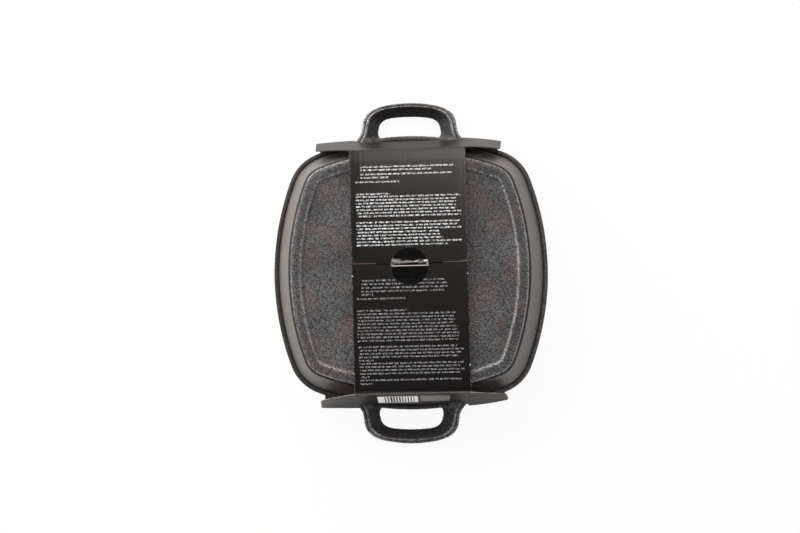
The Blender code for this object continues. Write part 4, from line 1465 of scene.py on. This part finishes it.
# painted shade: the kraft and the cut edges are dark; painted highlight: the lower side panel's pale edge
kraft = brown_paper("kraft_liner", "#4d3828", "#70543d")
cut_edge = brown_paper("cut_board_edge", "#3d3530", "#6b6059")
lit_pale_edge = brown_paper("painted_lit_edge", "#b3aaa0", "#ede7df")
bare_ink = charcoal_print("charcoal_ink_bare", 0.4)
upper_ink = charcoal_print("charcoal_ink_upper", 0.24, UPPER_ROWS, "#f6f9fd")
# painted shade: the lower flap's rows are grey where the upper flap's are white, because the lower flap lies
# in less light
lower_ink = charcoal_print("charcoal_ink_lower", 0.24, LOWER_ROWS, "#a1a2a5")
patch_ink = charcoal_print("charcoal_ink_patch", 0.4, patch=True)

# %% Dress the sleeve
for piece, ink, edge_finish, body, node in (
    (front_board, bare_ink, cut_edge, "pan_in_sleeve", "sleeve_front_panel"),
    (side_boards[0], bare_ink, cut_edge, "side_upper", "sleeve_side_panel_upper"),
    (side_boards[1], patch_ink, lit_pale_edge, "side_lower", "sleeve_side_panel_lower"),
    (flap_boards[0], upper_ink, cut_edge, "flap_upper", "sleeve_back_flap_upper"),
    (flap_boards[1], lower_ink, cut_edge, "flap_lower", "sleeve_back_flap_lower"),
    (tongue, bare_ink, cut_edge, "flap_upper", "lock_tongue"),
):
    for finish in (ink, kraft, edge_finish):
        piece.data.materials.append(finish)
    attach(piece, body)
    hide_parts(node)
for strip in creases:
    for finish in (bare_ink, kraft, cut_edge):
        strip.data.materials.append(finish)


# %% [markdown]
# The film is clear polyester with a shiny face. Laid on dark print it mostly shows as a
# darker round with sharp reflections, because it hides the soft sheen of the varnish. That
# darkening is painted: the film is a near-black, mostly opaque sheet, as painted shade.
# The white is a painted highlight, the glare of the crinkled film: in a band of streaks
# along the seam, which widens towards its ends and grows towards the right, and in one
# straight line below.

# %% Film of the seal
# painted highlight: where the glare is painted white on the film
GLARE_LINE = (-17.0, 19.0, -3.6, -2.8)  # left, right, and the heights from the seam, in mm
GLARE_MIDDLE = (3.0, 0.6)  # x, and the height above the seam, in mm
GLARE_HALF, GLARE_SPREAD = 0.7, 0.16


def clear_film():
    """Clear film with painted highlights: white streaks of glare along the seam, and a white line below it.
    """
    made, tree, shader = start_material("clear_polyester_film")
    place, across, along, _ = sleeve_place(tree)
    middle_x, above = GLARE_MIDDLE
    seam = SEAM_Y / MM
    off = add_node(tree, "Math", {0: along, 1: seam + above}, operation="SUBTRACT")
    aside = add_node(tree, "Math", {0: across, 1: middle_x}, operation="SUBTRACT")
    aside = add_node(tree, "Math", {0: aside}, operation="ABSOLUTE")
    half = add_node(tree, "Math", {0: aside, 1: GLARE_SPREAD, 2: GLARE_HALF}, operation="MULTIPLY_ADD")
    off = add_node(tree, "Math", {0: off, 1: half}, operation="DIVIDE")
    off = add_node(tree, "Math", {0: off}, operation="ABSOLUTE")
    band = add_node(tree, "MapRange", {"Value": off, "From Min": 1.0, "From Max": 0.5})
    streaks_at = add_node(tree, "Mapping", {"Vector": place, "Scale": (0.3, 1.0, 1.0)})
    streaks = add_node(tree, "TexNoise", {"Vector": streaks_at, "Scale": per_mm(1.3), "Detail": 2.0})
    drawn = add_node(tree, "MapRange", {"Value": streaks, "From Min": 0.42, "From Max": 0.52})
    # the painted glare grows stronger towards the right
    to_right = {"Value": across, "From Min": 1.0, "From Max": 6.0, "To Min": 0.45, "To Max": 1.0}
    side = add_node(tree, "MapRange", to_right)
    white = band
    for share in (drawn, side):
        white = add_node(tree, "Math", {0: white, 1: share}, operation="MULTIPLY")
    # a straight line of painted glare below the seam
    left, right, low, high = GLARE_LINE
    fold = inside(tree, across, along, (left, right, seam + low, seam + high))
    white = add_node(tree, "Math", {0: fold, 1: 0.85, 2: white}, operation="MULTIPLY_ADD", use_clamp=True)
    # painted shade: where it is not white, the film is near black and covers most of the print
    clear, glare_colour = linear("#0e0e0e"), linear("#e6dfdc")
    colour = add_node(tree, "Mix", {"Factor": white, 6: clear, 7: glare_colour}, data_type="RGBA")
    cover = add_node(tree, "MapRange", {"Value": white, "To Min": 0.62, "To Max": 0.95})
    fill(shader, {"Base Color": colour, "Alpha": cover, "Roughness": 0.13})
    return made


film = clear_film()
for piece, body, node in (
    (seals[0], "flap_upper", "seal_upper_part"),
    (seals[1], "flap_lower", "seal_lower_part"),
):
    piece.data.materials.append(film)
    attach(piece, body)
    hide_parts(node)

# %% [markdown]
# The pan was photographed on white, under one large soft light above the top edge of the
# picture, with bounce light from the sides. A narrow strip over the upper flap gives the
# sheen of its varnish. A lamp on each side lights the wall there, and a low one in front
# lights the lower wings. All but the strip are large, so that the varnish mirrors them
# softly in low views. The dark ceiling round the camera keeps the lower flap nearly black.
# The floor glows white for the camera, hardly at all in reflections, and still takes the
# pan's soft shadow.

# %% Floor
FLOOR_HALF = 40.0
PAPER_Z = -0.2 * MM
CAMERA_GLOW, MIRRORED_GLOW = 0.92, 0.05


def white_floor():
    """White paper that glows for the camera."""
    made = bpy.data.materials.new("white_paper_floor")
    made.use_nodes = True
    tree = made.node_tree
    tree.nodes.clear()
    path = add_node(tree, "LightPath").outputs
    seen = {0: path["Is Camera Ray"], 1: path["Is Transmission Ray"]}
    seen = add_node(tree, "Math", seen, operation="MAXIMUM")
    seen = add_node(tree, "Math", {0: seen, 1: CAMERA_GLOW}, operation="MULTIPLY")
    mirrored = {0: path["Is Glossy Ray"], 1: MIRRORED_GLOW, 2: seen}
    share = add_node(tree, "Math", mirrored, operation="MULTIPLY_ADD")
    paper = add_node(tree, "BsdfDiffuse", {"Color": linear("#f5f5f4")})
    glow = add_node(tree, "Emission", {"Color": linear("#ffffff"), "Strength": 1.0})
    mixed = add_node(tree, "MixShader", {0: share, 1: paper, 2: glow})
    add_node(tree, "OutputMaterial", {"Surface": mixed})
    return made


floor_points = [(x * FLOOR_HALF, y * FLOOR_HALF, PAPER_Z) for x, y in ((-1, -1), (1, -1), (1, 1), (-1, 1))]
floor = add_object("floor", mesh_from("floor", floor_points, [(0, 1, 2, 3)]))
floor.data.materials.append(white_floor())


# %% Lights
LAMPS = (
    # name, place, the point it faces, width, height, power and tint
    ("key_softbox", (-0.68, 1.28, 0.72), (0.0, 0.0, 0.0), 2.1, 1.15, 38.0, "#fff8f1"),
    ("top_strip", (0.12, 0.51, 1.62), (0.0, 0.0, 0.0), 0.8, 0.3, 6.2, "#fff4ec"),
    ("left_softbox", (-1.4, 0.3, 0.5), (0.0, 0.0, 0.0), 1.7, 0.8, 12.5, "#ffffff"),
    ("right_softbox", (1.4, 0.2, 0.5), (0.0, 0.0, 0.0), 1.5, 0.8, 8.5, "#ffffff"),
    ("low_front_fill", (0.1, -1.5, 0.28), (0.0, 0.0, 0.03), 1.5, 0.45, 10.5, "#ffffff"),
)
for name, place, target, width, height, power, tint in LAMPS:
    lamp = bpy.data.lights.new(name, "AREA")
    lamp.shape = "RECTANGLE"
    lamp.size, lamp.size_y, lamp.energy = width, height, power
    lamp.color = linear(tint)[:3]
    softbox = add_object(name, lamp)
    softbox.location = place
    softbox.rotation_euler = (Vector(target) - Vector(place)).to_track_quat("-Z", "Y").to_euler()
print(f"{len(LAMPS)} soft lamps")

# %% Sky
SKY_BRIGHT_SIDE = (-0.3, 0.6, -0.55)
world = bpy.data.worlds.new("studio")
world.use_nodes = True
bpy.context.scene.world = world
sky = world.node_tree
sky.nodes.clear()
direction = add_node(sky, "TexCoord").outputs["Generated"]
facing = add_node(sky, "VectorMath", {0: direction, 1: SKY_BRIGHT_SIDE}, operation="DOT_PRODUCT")
fading = {"Value": facing, "From Min": -0.6, "From Max": 0.7, "To Min": 0.03, "To Max": 0.5}
level = add_node(sky, "MapRange", fading)
background = add_node(sky, "Background", {"Color": level, "Strength": 1.0})
add_node(sky, "OutputWorld", {"Surface": background})
bpy.context.scene.view_settings.view_transform = "Standard"
